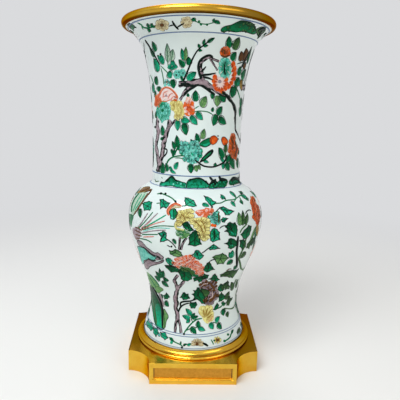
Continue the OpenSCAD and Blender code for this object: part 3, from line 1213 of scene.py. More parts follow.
class LeafShapes:
    """Leaf and petal shapes of unit length and width, which the trees place and stretch."""

    stations, line_stations, rib_stations = 8, 7, 4
    sunk, shoulder, crown = -0.4, 0.75, 1.0
    shoulder_at = 0.6
    line, petal_line, overhang = 0.08, 0.1, 0.4
    edge_ends, rib_ends, petal_rib_ends = (0.02, 0.98), (0.04, 0.94), (0.12, 0.6)
    vein, vein_rise, vein_reach, vein_reach_at = 0.024, 0.14, 0.75, 0.16
    vein_roots = (0.3, 0.52)
    root_dark, root_fade = 0.95, 1.5
    top_dark, top_from, side_dark = 1.5, 0.7, 0.45

    def half_width(self, kind: LeafKind, share: np.ndarray) -> np.ndarray:
        """Gives half the width of a leaf along its length."""
        skew, power = kind.value
        return 0.5 * np.sin(math.pi * share ** skew) ** power

    def shading(self, kind: LeafKind, side: float, along: float, upright: bool) -> float:
        """Gives how dark a leaf is: petals at their root, leaves at their top and on one side.

        Args:
            kind: Leaf or petal.
            side: Below zero on its dark side.
            along: Share of its length from the root.
            upright: Whether it grows upwards.

        Returns:
            Its darkness, 0 to 1.
        """
        if kind is LeafKind.PETAL:
            return max(0.0, self.root_dark - self.root_fade * along)
        top = max(0.0, self.top_dark * (along if upright else 1 - along) - self.top_from)
        return min(1.0, top + (self.side_dark if side < 0 else 0.0))

    def fill(self, kind: LeafKind, upright: bool) -> bpy.types.Object:
        """Makes the crowned body of a leaf, shaded for one that grows upwards or downwards.

        Args:
            kind: Leaf or petal.
            upright: Whether it grows upwards.

        Returns:
            The shape's object.
        """
        share = np.linspace(0, 1, self.stations + 2)[1:-1]
        half = self.half_width(kind, share)
        across = np.array([-1, -self.shoulder_at, 0, self.shoulder_at, 1])
        rise = np.array([self.sunk, self.shoulder, self.crown, self.shoulder, self.sunk])
        verts = [(0, 0, self.sunk), (0, 1, self.sunk)]
        for y, w in zip(share, half):
            verts += [(w * x, y, z) for x, z in zip(across, rise)]
        faces, row = [], len(across)
        for i in range(self.stations - 1):
            a = 2 + i * row
            b = a + row
            faces += [(a + k, a + k + 1, b + k + 1, b + k) for k in range(row - 1)]
            faces.append((a + row - 1, a, b, b + row - 1))
        first, last = 2, 2 + (self.stations - 1) * row
        for k in range(row):
            n = (k + 1) % row
            faces += [(0, first + n, first + k), (1, last + k, last + n)]
        piece = self._object(f"shape_{kind.name.lower()}_fill", verts, faces)
        shade = piece.data.attributes.new(TONE_AND_SHADE, "FLOAT", "POINT")
        for vert, value in zip(piece.data.vertices, shade.data):
            value.value = self.shading(kind, vert.co.x, vert.co.y, upright)
        return piece

    def lines(self, kind: LeafKind) -> bpy.types.Object:
        """Makes the drawn lines of a leaf: its edge, midrib and side veins.

        Args:
            kind: Leaf or petal.

        Returns:
            The shape's object.
        """
        petal = kind is LeafKind.PETAL
        share = np.linspace(*self.edge_ends, self.line_stations)
        half = self.half_width(kind, share)
        line = self.petal_line if petal else self.line
        strips = [[(side * (w - line), side * w, side * (w + line * self.overhang), y, y, y)
                   for y, w in zip(share, half)] for side in (-1, 1)]
        rib = self.line / (3 if petal else 2)
        middle = np.linspace(*(self.petal_rib_ends if petal else self.rib_ends), self.rib_stations)
        strips.append([(-rib, 0, rib, y, y, y) for y in middle])
        for side in (-1, 1):
            for root in () if petal else self.vein_roots:
                reach = self.vein_reach * self.half_width(kind, np.array([root + self.vein_reach_at]))[0]
                spots = [(side * r * reach, root + self.vein_rise * r) for r in (0.0, 0.5, 1.0)]
                strips.append([(x, x, x, y - self.vein, y, y + self.vein) for x, y in spots])
        verts: list[Triple] = []
        faces: list[tuple[int, ...]] = []
        low, high = -1.0, 1.0
        for strip in strips:
            start = len(verts)
            for x0, x1, x2, y0, y1, y2 in strip:
                verts += [(x0, y0, low), (x1, y1, high), (x2, y2, low)]
            for i in range(len(strip) - 1):
                a, b = start + 3 * i, start + 3 * i + 3
                faces += [(a + k, a + (k + 1) % 3, b + (k + 1) % 3, b + k) for k in range(3)]
            end = start + 3 * (len(strip) - 1)
            faces += [(start + 2, start + 1, start), (end, end + 1, end + 2)]
        return self._object(f"shape_{kind.name.lower()}_lines", verts, faces)

    def _object(self, name: str, verts: list, faces: list) -> bpy.types.Object:
        """Makes a shape's object, with its faces outwards.

        Args:
            name: The object's name.
            verts: Its points.
            faces: Its faces, by the numbers of their points.

        Returns:
            The object.
        """
        mesh = bpy.data.meshes.new(name)
        mesh.from_pydata(verts, [], faces)
        with edited(mesh) as work:
            bmesh.ops.recalc_face_normals(work, faces=work.faces)
        return show(mesh, name)


class PaintTrees:
    """Geometry node trees that lay paint from the chart on the vase."""

    def __init__(self) -> None:
        """Builds the trees once."""
        self.wrap = self._wrap()
        self.sprigs = self._sprigs()
        self.strokes = self._strokes()
        self.patches = self._patches()

    def _wrap(self) -> Any:
        """Makes the group that bends the flat chart round the outline.

        Returns:
            The node group.
        """
        canvas, given = new_group(
            "wrap_on_vase", "GeometryNodeTree",
            {"Geometry": GEOMETRY, "Outline": OBJECT, "Chart Radius": (FLOAT, VaseChart.radius),
             "Flatten": (FLOAT, 1.0), "Lift": (FLOAT, 0.0), "Sink": (FLOAT, 0.12 * MM)},
            {"Geometry": GEOMETRY})
        axes = canvas.add("ShaderNodeSeparateXYZ",
                          {0: canvas.add("GeometryNodeInputPosition").outputs[0]}).outputs
        curve = canvas.add("GeometryNodeObjectInfo", {"Object": given["Outline"]})
        sample = canvas.add("GeometryNodeSampleCurve", {"Curves": curve.outputs["Geometry"],
                                                        "Length": axes["Y"]},
                            mode="LENGTH", use_all_curves=True)
        ahead = canvas.add("ShaderNodeSeparateXYZ", {0: sample.outputs["Tangent"]}).outputs
        outward = canvas.add("ShaderNodeCombineXYZ",
                             {"X": ahead["Z"], "Z": canvas.math("MULTIPLY", ahead["X"], -1.0)})
        top = canvas.math("MULTIPLY_ADD", axes["Z"], given["Flatten"], given["Lift"])
        # The underside of the paint sinks into the glaze
        under = canvas.math("LESS_THAN", axes["Z"], -MERGE_GAP)
        drop = canvas.math("MULTIPLY", under, canvas.math("ADD", top, given["Sink"]))
        height = canvas.math("SUBTRACT", top, drop)
        raised = canvas.add("ShaderNodeVectorMath", {0: outward.outputs[0], "Scale": height},
                            operation="SCALE")
        place = canvas.add("ShaderNodeVectorMath", {0: sample.outputs["Position"],
                                                    1: raised.outputs[0]}, operation="ADD")
        angle = canvas.math("SUBTRACT", canvas.math("DIVIDE", axes["X"], given["Chart Radius"]),
                            math.pi / 2)
        turned = canvas.add("ShaderNodeVectorRotate", {"Vector": place.outputs[0],
                                                       "Angle": angle}, rotation_type="Z_AXIS")
        moved = canvas.add("GeometryNodeSetPosition", {"Geometry": given["Geometry"],
                                                       "Position": turned.outputs[0]})
        canvas.add("NodeGroupOutput", {"Geometry": moved.outputs[0]})
        return canvas.tree

    def _finish(self, canvas: NodeCanvas, given: Any, geometry: Any) -> None:
        """Ends a tree: wraps the paint on the vase, realises it and gives it its material.

        Args:
            canvas: The tree.
            given: The tree's inputs.
            geometry: The paint on the flat chart.
        """
        passed = {name: given[name] for name in ("Outline", "Flatten", "Lift")}
        wrapped = canvas.add("GeometryNodeGroup", {"Geometry": geometry, **passed}, node_tree=self.wrap)
        smooth = canvas.add("GeometryNodeSetShadeSmooth", {"Geometry": wrapped.outputs[0]})
        real = canvas.add("GeometryNodeRealizeInstances", {"Geometry": smooth.outputs[0]})
        dressed = canvas.add("GeometryNodeSetMaterial", {"Geometry": real.outputs[0],
                                                         "Material": given["Enamel"]})
        canvas.add("NodeGroupOutput", {"Geometry": dressed.outputs[0]})

    def _tree(self, name: str, extra: dict[str, Any]) -> tuple[NodeCanvas, Any]:
        """Starts a tree with the inputs that all of them have.

        Args:
            name: The tree's name.
            extra: Inputs that only this tree has.

        Returns:
            The tree and its inputs.
        """
        shared = {"Geometry": GEOMETRY, "Outline": OBJECT, "Enamel": MATERIAL,
                  "Flatten": (FLOAT, 1.0), "Lift": (FLOAT, 0.0)}
        return new_group(name, "GeometryNodeTree", {**shared, **extra}, {"Geometry": GEOMETRY})

    def _sprigs(self) -> Any:
        """Makes the tree that places a leaf shape on each point.

        Returns:
            The tree.
        """
        canvas, given = self._tree("painted_leaves", {"Shape": OBJECT})
        shape = canvas.add("GeometryNodeObjectInfo", {"Object": given["Shape"]})
        turn, size = (canvas.add("GeometryNodeInputNamedAttribute", {"Name": name},
                                 data_type="FLOAT_VECTOR").outputs[0] for name in ("turn", "size"))
        placed = canvas.add("GeometryNodeInstanceOnPoints", {
            "Points": given["Geometry"], "Instance": shape.outputs["Geometry"],
            "Rotation": turn, "Scale": size})
        real = canvas.add("GeometryNodeRealizeInstances", {"Geometry": placed.outputs[0]})
        self._finish(canvas, given, real.outputs[0])
        return canvas.tree

    def _strokes(self) -> Any:
        """Makes the tree that turns paths into brush strokes.

        Returns:
            The tree.
        """
        canvas, given = self._tree("painted_strokes", {"Step": (FLOAT, 1.8 * MM),
                                                       "Sides": ("NodeSocketInt", 4)})
        fine = canvas.add("GeometryNodeResampleCurve", {"Curve": given["Geometry"],
                                                        "Length": given["Step"]}, mode="LENGTH")
        round_section = canvas.add("GeometryNodeCurvePrimitiveCircle",
                                   {"Resolution": given["Sides"], "Radius": 1.0})
        width = canvas.add("GeometryNodeInputRadius")
        swept = canvas.add("GeometryNodeCurveToMesh", {
            "Curve": fine.outputs[0], "Profile Curve": round_section.outputs[0],
            "Scale": width.outputs[0], "Fill Caps": True})
        self._finish(canvas, given, swept.outputs[0])
        return canvas.tree

    def _patches(self) -> Any:
        """Makes the tree that lays flat patches on the vase.

        Returns:
            The tree.
        """
        canvas, given = self._tree("painted_patches", {})
        self._finish(canvas, given, given["Geometry"])
        return canvas.tree

    def run(self, source: bpy.types.Object, tree: Any, values: dict[str, Any]) -> bpy.types.Mesh:
        """Runs a tree on an object.

        Args:
            source: The object with the chart's geometry, which is used up.
            tree: The tree.
            values: The tree's inputs by name.

        Returns:
            The result as a plain mesh.
        """
        modifier = source.modifiers.new(tree.name, "NODES")
        modifier.node_group = tree
        for item in tree.interface.items_tree:
            if item.in_out == "INPUT" and item.name in values:
                modifier[item.identifier] = values[item.name]
        return realised(source)


class EnamelWork:
    """Turns the laid-out brushwork into one raised piece for each enamel."""

    fill_height, line_height = 0.08 * MM, 0.05 * MM
    lift, layer, line_lift = 0.02 * MM, 0.012 * MM, 0.24 * MM
    under_lift = 0.01 * MM
    leaf_lift, stroke_lift = 0.03 * MM, 0.13 * MM
    enamel_step = 0.004 * MM
    stroke_flatten = 0.03
    patch_edge, patch_height, longest_edge = 0.3 * MM, 0.08 * MM, 1.7 * MM
    splits, most_corners = 6, 4
    shade_gain, shade_from = 1.3, 0.3
    line_enamels = (Enamel.OUTLINE, Enamel.SEPIA, Enamel.BLUE)

    def __init__(self, work: Brushwork, effects: ShaderEffects) -> None:
        """Prepares the shapes and trees.

        Args:
            work: The brushwork on the chart.
            effects: The shared shader groups.
        """
        self.work = work
        self.effects = effects
        self.outline = work.chart.profile()
        self.trees = PaintTrees()
        shapes = LeafShapes()
        self.fills = {(kind, upright): shapes.fill(kind, upright)
                      for kind in LeafKind for upright in (True, False)}
        self.drawn = {kind: shapes.lines(kind) for kind in LeafKind}

    def build(self) -> None:
        """Makes and settles every enamel's piece."""
        for enamel in Enamel:
            finish = enamel.finish().material(self.effects)
            meshes = list(self._meshes(enamel, finish))
            if not meshes:
                continue
            joined = bmesh.new()
            joined.verts.layers.float.new(TONE_AND_SHADE)
            for mesh in meshes:
                joined.from_mesh(mesh)
                bpy.data.meshes.remove(mesh)
            result = bpy.data.meshes.new(enamel.piece)
            joined.to_mesh(result)
            joined.free()
            result.materials.clear()
            result.materials.append(finish)
            result.shade_smooth()
            settle(show(result, result.name), "porcelain")
        for helper in (self.outline, *self.fills.values(), *self.drawn.values()):
            bpy.data.objects.remove(helper)

    def _meshes(self, enamel: Enamel, finish: bpy.types.Material) -> Iterable[bpy.types.Mesh]:
        """Gives the meshes that one enamel is made of.

        Args:
            enamel: The enamel.
            finish: Its material.

        Returns:
            The meshes, one after another.
        """
        shared = {"Outline": self.outline, "Enamel": finish}
        lift = self.lift + self.enamel_step * list(Enamel).index(enamel)
        drawn_lift = self.line_lift if enamel in self.line_enamels else lift + self.stroke_lift
        for kind in LeafKind:
            own = [s for s in self.work.sprigs if s.kind is kind and s.enamel is enamel]
            drawn = [s for s in self.work.sprigs if s.kind is kind and s.lines is enamel]
            runs = [(drawn, self.drawn[kind], self.line_height, self.line_lift)]
            for upright in (True, False):
                runs.append(([s for s in own if (math.cos(s.turn) > 0) is upright],
                             self.fills[kind, upright], self.fill_height, lift + self.leaf_lift))
            for sprigs, shape, height, raised in runs:
                if sprigs:
                    yield self.trees.run(self._points(sprigs), self.trees.sprigs, {
                        **shared, "Shape": shape, "Flatten": height, "Lift": raised})
        for under, raised in ((True, self.under_lift), (False, drawn_lift)):
            lines = [s for s in self.work.lines if s.enamel is enamel and s.under is under]
            if lines:
                yield self.trees.run(self._curves(lines), self.trees.strokes,
                                     {**shared, "Flatten": self.stroke_flatten, "Lift": raised})
        areas = [area for area in self.work.areas if area.enamel is enamel]
        if areas:
            yield self.trees.run(self._patch_mesh(areas), self.trees.patches,
                                 {**shared, "Lift": lift})

    def _points(self, sprigs: list[Sprig]) -> bpy.types.Object:
        """Makes a cloud of points, one for each leaf, with its turn and size.

        Args:
            sprigs: The leaves on the chart.

        Returns:
            The points' object.
        """
        mesh = bpy.data.meshes.new("leaf_points")
        mesh.from_pydata([(*s.path[0], 0) for s in sprigs], [], [])
        turns = mesh.attributes.new("turn", "FLOAT_VECTOR", "POINT")
        sizes = mesh.attributes.new("size", "FLOAT_VECTOR", "POINT")
        for i, sprig in enumerate(sprigs):
            turns.data[i].vector = (0, 0, sprig.turn)
            sizes.data[i].vector = (sprig.width, sprig.length, 1)
        return show(mesh, "leaf_points")

    def _curves(self, lines: list[Line]) -> bpy.types.Object:
        """Makes one curve object with a smooth spline for each line.

        Args:
            lines: The lines on the chart.

        Returns:
            The curve object.
        """
        data = bpy.data.curves.new("stroke_paths", "CURVE")
        data.dimensions = "3D"
        for line in lines:
            spline = data.splines.new("BEZIER")
            spline.bezier_points.add(len(line.path) - 1)
            for point, place, width in zip(spline.bezier_points, line.path, line.widths):
                point.co = (*place, 0)
                point.radius = width / 2
                point.handle_left_type = point.handle_right_type = "AUTO"
        return show(data, "stroke_paths")

    def _split(self, work: bmesh.types.BMesh) -> None:
        """Splits the faces that have too many corners into triangles."""
        bmesh.ops.triangulate(work, faces=[f for f in work.faces if len(f.verts) > self.most_corners])

    def _patch_mesh(self, areas: list[Area]) -> bpy.types.Object:
        """Makes closed, slightly raised patches, shaded towards their tops.

        Args:
            areas: The patches on the chart.

        Returns:
            The patches' object.
        """
        joined = bmesh.new()
        joined.verts.layers.float.new(TONE_AND_SHADE)
        for area in areas:
            work = bmesh.new()
            shade = work.verts.layers.float.new(TONE_AND_SHADE)
            face = work.faces.new([work.verts.new((*p, -self.patch_height)) for p in area.path])
            if face.normal.z < 0:
                face.normal_flip()
            bmesh.ops.inset_individual(work, faces=[face], thickness=self.patch_edge,
                                       use_even_offset=True)
            for vert in face.verts:
                vert.co.z = self.patch_height + area.layer * self.layer
            bmesh.ops.holes_fill(work, edges=[e for e in work.edges if e.is_boundary], sides=0)
            bmesh.ops.triangulate(work, faces=work.faces)
            for _ in range(self.splits):
                long_edges = [e for e in work.edges if e.calc_length() > self.longest_edge]
                if not long_edges:
                    break
                bmesh.ops.subdivide_edges(work, edges=long_edges, cuts=1)
                self._split(work)
            bmesh.ops.recalc_face_normals(work, faces=work.faces)
            foot, top = area.path[:, 1].min(), area.path[:, 1].max()
            for vert in work.verts:
                rise = self.shade_gain * (vert.co.y - foot) / (top - foot) - self.shade_from
                vert[shade] = area.shade * max(0.0, rise)
            part = bpy.data.meshes.new("patch")
            work.to_mesh(part)
            work.free()
            joined.from_mesh(part)
            bpy.data.meshes.remove(part)
        mesh = bpy.data.meshes.new("patches")
        self._split(joined)
        joined.to_mesh(mesh)
        joined.free()
        return show(mesh, "patches")


@dataclass
class PorcelainVase:
    """The glazed vase."""

    outline: VaseOutline
    segments: int = 240

    def build(self, effects: ShaderEffects) -> None:
        """Turns the vase and glazes it.

        Args:
            effects: The shared node groups.
        """
        mesh = revolve(self.outline.section(), self.segments, "glazed_vase")
        mesh.materials.append(GLAZE.material(effects))
        settle(show(mesh, "glazed_vase"), "porcelain", "porcelain_vase")


@dataclass
class GiltMounts:
    """Rim collar, foot collar and plinth: sizes in millimetres, and the painted shade and painted
    reflection on their gilding.
    """

    outline: VaseOutline
    segments: int = 256
    rim_bead_r: float = 5.3
    rim_rise: float = 1.1
    bed_t: float = 0.6
    collar_bore_r: float = 78.8
    collar_r: float = 88.0
    collar_h: float = 11.0
    bead_r: float = 2.3
    lip_w: float = 1.6
    step_h: float = 1.0
    plinth_h: float = 32.0
    plinth_half: float = 95.0
    panel_depth: float = 3.0
    panel_under: float = 7.8
    panel_over: float = 6.8
    bevel: float = 0.55
    # Width of the painted shade round each sunk panel
    dirt_w: float = 1.5
    slot_steps: int = 14
    round_steps: int = 44
    bead_steps: int = 20
    cavetto_steps: int = 18
    slack: float = 0.1
    panel_slack: float = 0.2
    facing: float = 0.9
    # How dark the gilding is painted: an even darkening, a painted reflection line on the rim, painted
    # shade under the beads and in the groove, painted shade towards the sides, and painted dark reflections
    # on the plinth's top
    rim_dull: float = 0.2
    rim_line: Triple = (0.55, -0.03, 0.08)
    rim_under: Triple = (0.95, -0.34, 0.36)
    foot_dull: float = 0.12
    foot_dark: float = 0.5
    groove_dark: Pair = (0.9, 1.1)
    side_dull: Pair = (0.05, 0.7)
    dark_from: Triple = (42.0, 58.0, 72.0)
    dark_shift: float = -8.0
    dark_shares: Triple = (0.14, 0.46, 0.86)
    dull_left: float = 0.3
    dull_right: float = 0.56
    rim_cloud: float = 0.36

    def rim_section(self) -> np.ndarray:
        """Gives the rim collar's section: a round bead with a slot for the bedded lip.

        Returns:
            Radius and height of each point.
        """
        shape = self.outline
        centre = shape.lip_centre + np.array([0, self.rim_rise])
        half_slot = shape.lip_t / 2 + self.bed_t
        under = shape.set_off(self.bed_t)
        inside = shape.set_off(-shape.thickness - self.bed_t)
        under = under[np.linalg.norm(under - centre, axis=1) < self.rim_bead_r]
        inside = inside[np.linalg.norm(inside - centre, axis=1) < self.rim_bead_r]
        edge = shape.lip_edge(half_slot, np.linspace(0, math.pi, self.slot_steps)[1:-1])
        slot = np.vstack([under, edge, inside[::-1]])
        first = math.atan2(*(slot[-1] - centre)[::-1])
        last = math.atan2(*(slot[0] - centre)[::-1])
        while last > first:
            last -= 2 * math.pi
        around = np.array([centre + self.rim_bead_r * np.array([math.cos(a), math.sin(a)])
                           for a in np.linspace(first, last, self.round_steps)])
        return np.vstack([slot, around])

    def foot_section(self) -> np.ndarray:
        """Gives the foot collar's section: a bead, a small step, a cavetto and a flat lip.

        Returns:
            Radius and height of each point.
        """
        base, top = self.plinth_h, self.plinth_h + self.collar_h
        centre = np.array([self.collar_r - self.bead_r, base + self.bead_r])
        step_z = base + 2 * self.bead_r + self.step_h
        sweep = np.array([centre[0] - self.collar_bore_r - self.lip_w, top - step_z])
        bead = [centre + self.bead_r * np.array([math.cos(a), math.sin(a)])
                for a in np.linspace(-math.pi / 2, math.pi / 2, self.bead_steps)]
        cavetto = [np.array([centre[0] - sweep[0] * math.sin(a), top - sweep[1] * math.cos(a)])
                   for a in np.linspace(0, math.pi / 2, self.cavetto_steps)]
        return np.vstack([[(self.collar_bore_r, base)], bead, cavetto,
                          [(self.collar_bore_r, top)]])

    def plinth_mesh(self) -> bpy.types.Mesh:
        """Gives the plinth with soft edges, matted panels with painted shade round them, and cuts for the
        painted dark reflection on its top.

        Returns:
            The mesh, with its finishes by number.
        """
        mesh = softened("plinth", self.bevel)
        with edited(mesh) as work:
            panels = [face for face in work.faces if self.in_panel(face)]
            panel_shade_faces = bmesh.ops.inset_individual(work, faces=panels, thickness=self.dirt_w * MM)["faces"]
            for face in panels:
                face.material_index = 1
            # The border round each panel is painted shade, except the sill at its bottom, which stays
            # burnished
            for face in panel_shade_faces:
                sill = face.calc_center_median().z / MM < self.panel_under + self.dirt_w
                face.material_index = 0 if sill else 2
            # Cuts where the painted dark reflection on the top changes
            for side in (*self.dark_from, *(-x for x in self.dark_from)):
                bmesh.ops.bisect_plane(work, geom=[*work.verts, *work.edges, *work.faces],
                                       plane_co=((side + self.dark_shift) * MM, 0, 0), plane_no=(1, 0, 0))
        return mesh

    def in_panel(self, face: bmesh.types.BMFace) -> bool:
        """Tells whether a face of the plinth is the ground of a sunk panel.

        Args:
            face: The face.

        Returns:
            Whether it lies in a panel.
        """
        place = face.calc_center_median() / MM
        ground, reach = self.plinth_half - self.panel_depth, self.plinth_half / 2 + self.panel_under
        return self.panel_under < place.z < self.plinth_h - self.panel_over and any(
            abs(place[other]) < reach and abs(abs(place[axis]) - ground) < self.panel_slack
            and abs(face.normal[axis]) > self.facing for axis, other in ((0, 1), (1, 0)))

    def tarnish(self, place: Vector) -> float:
        """Gives painted shade and painted dark reflection on the gilding, growing towards its sides, more
        to the right than to the left.
        """
        share = place.x / place.xy.length
        return share ** 2 * (self.dull_right if share > 0 else self.dull_left)

    def rim_stain(self, place: Vector) -> float:
        """Gives how dark the rim bead is painted: an even darkening, a thin painted reflection line,
        painted shade on its underside, painted shade towards its sides and a painted dark reflection on the
        right.

        Args:
            place: A point in millimetres.

        Returns:
            How dark it is painted, where 1 is darkest.
        """
        centre = self.outline.lip_centre[1] + self.rim_rise
        share = (place.z - centre) / self.rim_bead_r
        strength, middle, width = self.rim_line
        line = strength * math.exp(-((share - middle) / width) ** 2)
        right = max(0.0, place.x / place.xy.length)
        right_reflection = self.rim_cloud * 4 * right * (1 - right)
        dark, start, reach = self.rim_under
        return max(self.rim_dull + self.tarnish(place) + right_reflection, line,
                   dark * min(1.0, (start - share) / reach))

    def foot_stain(self, place: Vector) -> float:
        """Gives how dark the foot collar is painted: an even darkening, painted shade in its groove, under
        its bead and where it meets the porcelain, and painted shade towards its sides.

        Args:
            place: A point in millimetres.

        Returns:
            The stain, where 1 is darkest.
        """
        groove = self.plinth_h + 2 * self.bead_r + self.step_h / 2
        dark, reach = self.groove_dark
        inside = 1.0 if place.xy.length < self.collar_bore_r + self.slack else 0.0
        return max(dark - abs(place.z - groove) / reach, self.foot_dull + self.tarnish(place), inside,
                   self.foot_dark - (place.z - self.plinth_h) / self.bead_r)

    def plinth_stain(self, place: Vector) -> float:
        """Gives how dark the plinth is painted: a painted dark reflection on the left and right of its top,
        and an even darkening with painted shade towards the sides below it.

        Args:
            place: A point in millimetres.

        Returns:
            How dark it is painted, where 1 is darkest.
        """
        if place.z > self.plinth_h - self.slack:
            return float(np.interp(abs(place.x - self.dark_shift), self.dark_from, self.dark_shares))
        least, gain = self.side_dull
        return least + gain * self.tarnish(place)

    def build(self, effects: ShaderEffects) -> None:
        """Makes the three mounts and gilds them.

        Args:
            effects: The shared node groups.
        """
        gilding = [finish.material(effects) for finish in (BURNISHED, MATTED, PANEL_SHADE)]
        rim = revolve(self.rim_section(), self.segments, "gilt_rim_collar")
        foot = revolve(self.foot_section(), self.segments, "gilt_foot_collar")
        plinth = self.plinth_mesh()
        # Painted shade and painted reflection go into each mount's mesh
        stain(rim, self.rim_stain)
        stain(foot, self.foot_stain)
        stain(plinth, self.plinth_stain)
        for mesh, name, node in ((rim, "gilt_rim_collar", "rim_collar"),
                                 (foot, "gilt_foot_collar", "foot_collar"),
                                 (plinth, "gilt_plinth", "plinth")):
            for material in gilding:
                mesh.materials.append(material)
            settle(show(mesh, name), "gilt_bronze", node)


def softened(node: str, bevel: float) -> bpy.types.Mesh:
    """Copies a node's mesh, merges it and softens its edges.

    Args:
        node: The node's name.
        bevel: Width of the softened edges in millimetres.

    Returns:
        The new mesh.
    """
    mesh = frame["nodes"][node].data.copy()
    mesh.materials.clear()
    with edited(mesh) as work:
        bmesh.ops.remove_doubles(work, verts=work.verts, dist=SOLID_GAP)
        bmesh.ops.dissolve_limit(work, angle_limit=math.radians(FLAT_ANGLE), verts=work.verts,
                                 edges=work.edges)
    piece = show(mesh, f"{node}_soft")
    edge = piece.modifiers.new("soft_edges", "BEVEL")
    edge.width, edge.segments, edge.limit_method = bevel * MM, SOFT_STEPS, "ANGLE"
    edge.angle_limit = math.radians(SOFT_ANGLE)
    return smoothed(realised(piece))


@dataclass(frozen=True)
class Fixing:
    """How a hidden piece is dressed, with the width of its softened edges in millimetres."""

    finish: Finish
    slot: str
    bevel: float = 0.0


@dataclass
class Fixings:
    """The hidden pieces that hold the mounts to the porcelain."""

    rim_bedding: Fixing = Fixing(PLASTER, "plaster")
    foot_washer: Fixing = Fixing(LEATHER, "leather", 0.3)
    inner_cushion: Fixing = Fixing(LEATHER, "leather", 0.6)
    clamp_plate: Fixing = Fixing(BRASS, "brass", 0.4)
    upper_nut: Fixing = Fixing(BRASS, "brass", 0.4)
    lower_nut: Fixing = Fixing(BRASS, "brass", 0.4)
    lower_washer: Fixing = Fixing(STEEL, "steel", 0.3)
    tie_rod: Fixing = Fixing(STEEL, "steel", 0.4)
    collar_screws: Fixing = Fixing(STEEL, "steel", 0.3)

    def build(self, effects: ShaderEffects) -> None:
        """Dresses each fixing; the bedding keeps its own mesh.

        Args:
            effects: The shared node groups.
        """
        made = {finish.name: finish.material(effects) for finish in (PLASTER, LEATHER, BRASS, STEEL)}
        for node, fixing in vars(self).items():
            mesh = softened(node, fixing.bevel) if fixing.bevel else frame["nodes"][node].data
            mesh.materials.clear()
            mesh.materials.append(made[fixing.finish.name])
            if fixing.bevel:
                settle(show(mesh, f"{node}_dressed"), fixing.slot, node)


@dataclass(frozen=True)
class Softbox:
    """A large soft lamp, with its place and target in metres."""

    name: str
    place: Triple
    target: Triple
    size: float
    power: float
    color: Triple

    def build(self) -> None:
        """Adds the lamp, facing its target."""
        data = bpy.data.lights.new(self.name, "AREA")
        data.shape, data.size, data.energy, data.color = "SQUARE", self.size, self.power, self.color
        lamp = show(data, self.name)
        lamp.location = self.place
        way = Vector(self.target) - Vector(self.place)
        lamp.rotation_euler = way.to_track_quat("-Z", "Y").to_euler()


@dataclass
class Studio:
    """Floor, world and lamps."""

    floor_size: float = 8.0
    floor_color: Color = linear(240, 238, 234)
    backdrop: Color = linear(218, 219, 221)
    ambient: float = 0.38
    fade: Pair = (0.35, 1.3)
    floor_roughness: float = 0.85
    sky: Color = (0.93, 0.96, 1.0, 1.0)
    lamps: tuple[Softbox, ...] = (
        Softbox("key_softbox", (-0.6, -0.85, 1.75), (0, 0, 0.25), 0.9, 24.0, (0.93, 0.97, 1.0)),
        Softbox("fill_softbox", (0.9, -1.0, 0.75), (0, 0, 0.25), 0.8, 3.4, (1.0, 0.92, 0.8)),
        Softbox("back_softbox", (-0.1, 1.0, 1.75), (0, 0, 0.3), 0.8, 8.0, (1.0, 1.0, 1.0)),
    )

    def build(self) -> None:
        """Adds everything that lights and carries the vase."""
        bpy.context.scene.view_settings.view_transform = "Standard"
        self._floor()
        self._world()
        for lamp in self.lamps:
            lamp.build()

    def _floor(self) -> None:
        """Adds the plain pale floor."""
        half = self.floor_size / 2
        mesh = bpy.data.meshes.new("pale_floor")
        mesh.from_pydata([(-half, -half, 0), (half, -half, 0), (half, half, 0), (-half, half, 0)],
                         [], [(0, 1, 2, 3)])
        material = bpy.data.materials.new("pale_floor")
        canvas = NodeCanvas.of(material)
        near = canvas.add("ShaderNodeBsdfPrincipled", {"Base Color": self.floor_color,
                                                       "Roughness": self.floor_roughness})
        far = canvas.add("ShaderNodeEmission", {"Color": self.backdrop})
        place = canvas.add("ShaderNodeTexCoord").outputs["Object"]
        distance = canvas.add("ShaderNodeVectorMath", {0: place}, operation="LENGTH")
        fade = canvas.add("ShaderNodeMapRange", {
            "Value": distance.outputs["Value"], "From Min": self.fade[0],
            "From Max": self.fade[1]}, interpolation_type="SMOOTHSTEP")
        share = canvas.math("MULTIPLY", fade.outputs["Result"], self._seen(canvas))
        mix = canvas.add("ShaderNodeMixShader", {0: share, 1: near.outputs[0], 2: far.outputs[0]})
        canvas.add("ShaderNodeOutputMaterial", {"Surface": mix.outputs[0]})
        mesh.materials.append(material)
        show(mesh, "pale_floor")

    def _seen(self, canvas: NodeCanvas) -> Any:
        """Gives 1 for what is seen directly, mirrored or through glass, and 0 for plain light.

        Args:
            canvas: The tree that it is worked out in.

        Returns:
            The value's socket.
        """
        path = canvas.add("ShaderNodeLightPath").outputs
        clear = canvas.math("ADD", path["Is Glossy Ray"], path["Is Transmission Ray"])
        return canvas.math("MAXIMUM", path["Is Camera Ray"], clear)

    def _world(self) -> None:
        """Adds soft light all round, with a plain pale background for the camera."""
        world = bpy.data.worlds.new("studio_world")
        bpy.context.scene.world = world
        canvas = NodeCanvas.of(world)
        light = canvas.add("ShaderNodeBackground", {"Color": self.sky,
                                                    "Strength": self.ambient})
        plain = canvas.add("ShaderNodeBackground", {"Color": self.backdrop, "Strength": 1.0})
        mix = canvas.add("ShaderNodeMixShader", {0: self._seen(canvas), 1: light.outputs[0],
                                                 2: plain.outputs[0]})
        canvas.add("ShaderNodeOutputWorld", {"Surface": mix.outputs[0]})


# How dark plain patches, green vine leaves and other vine leaves become towards their tops
PLAIN_SHADE, GREEN_SHADE, LEAF_SHADE = 0.3, 0.4, 0.85
# Corners of a dab, and the layer that dabs lie on
DAB_CORNERS, DAB_LAYER = 8, 8


def pairs(row: Row) -> tuple[Pixel, ...]:
    """Gives the pixels of a row that holds their X and Y in turn."""
    return tuple(zip(row[::2], row[1::2]))


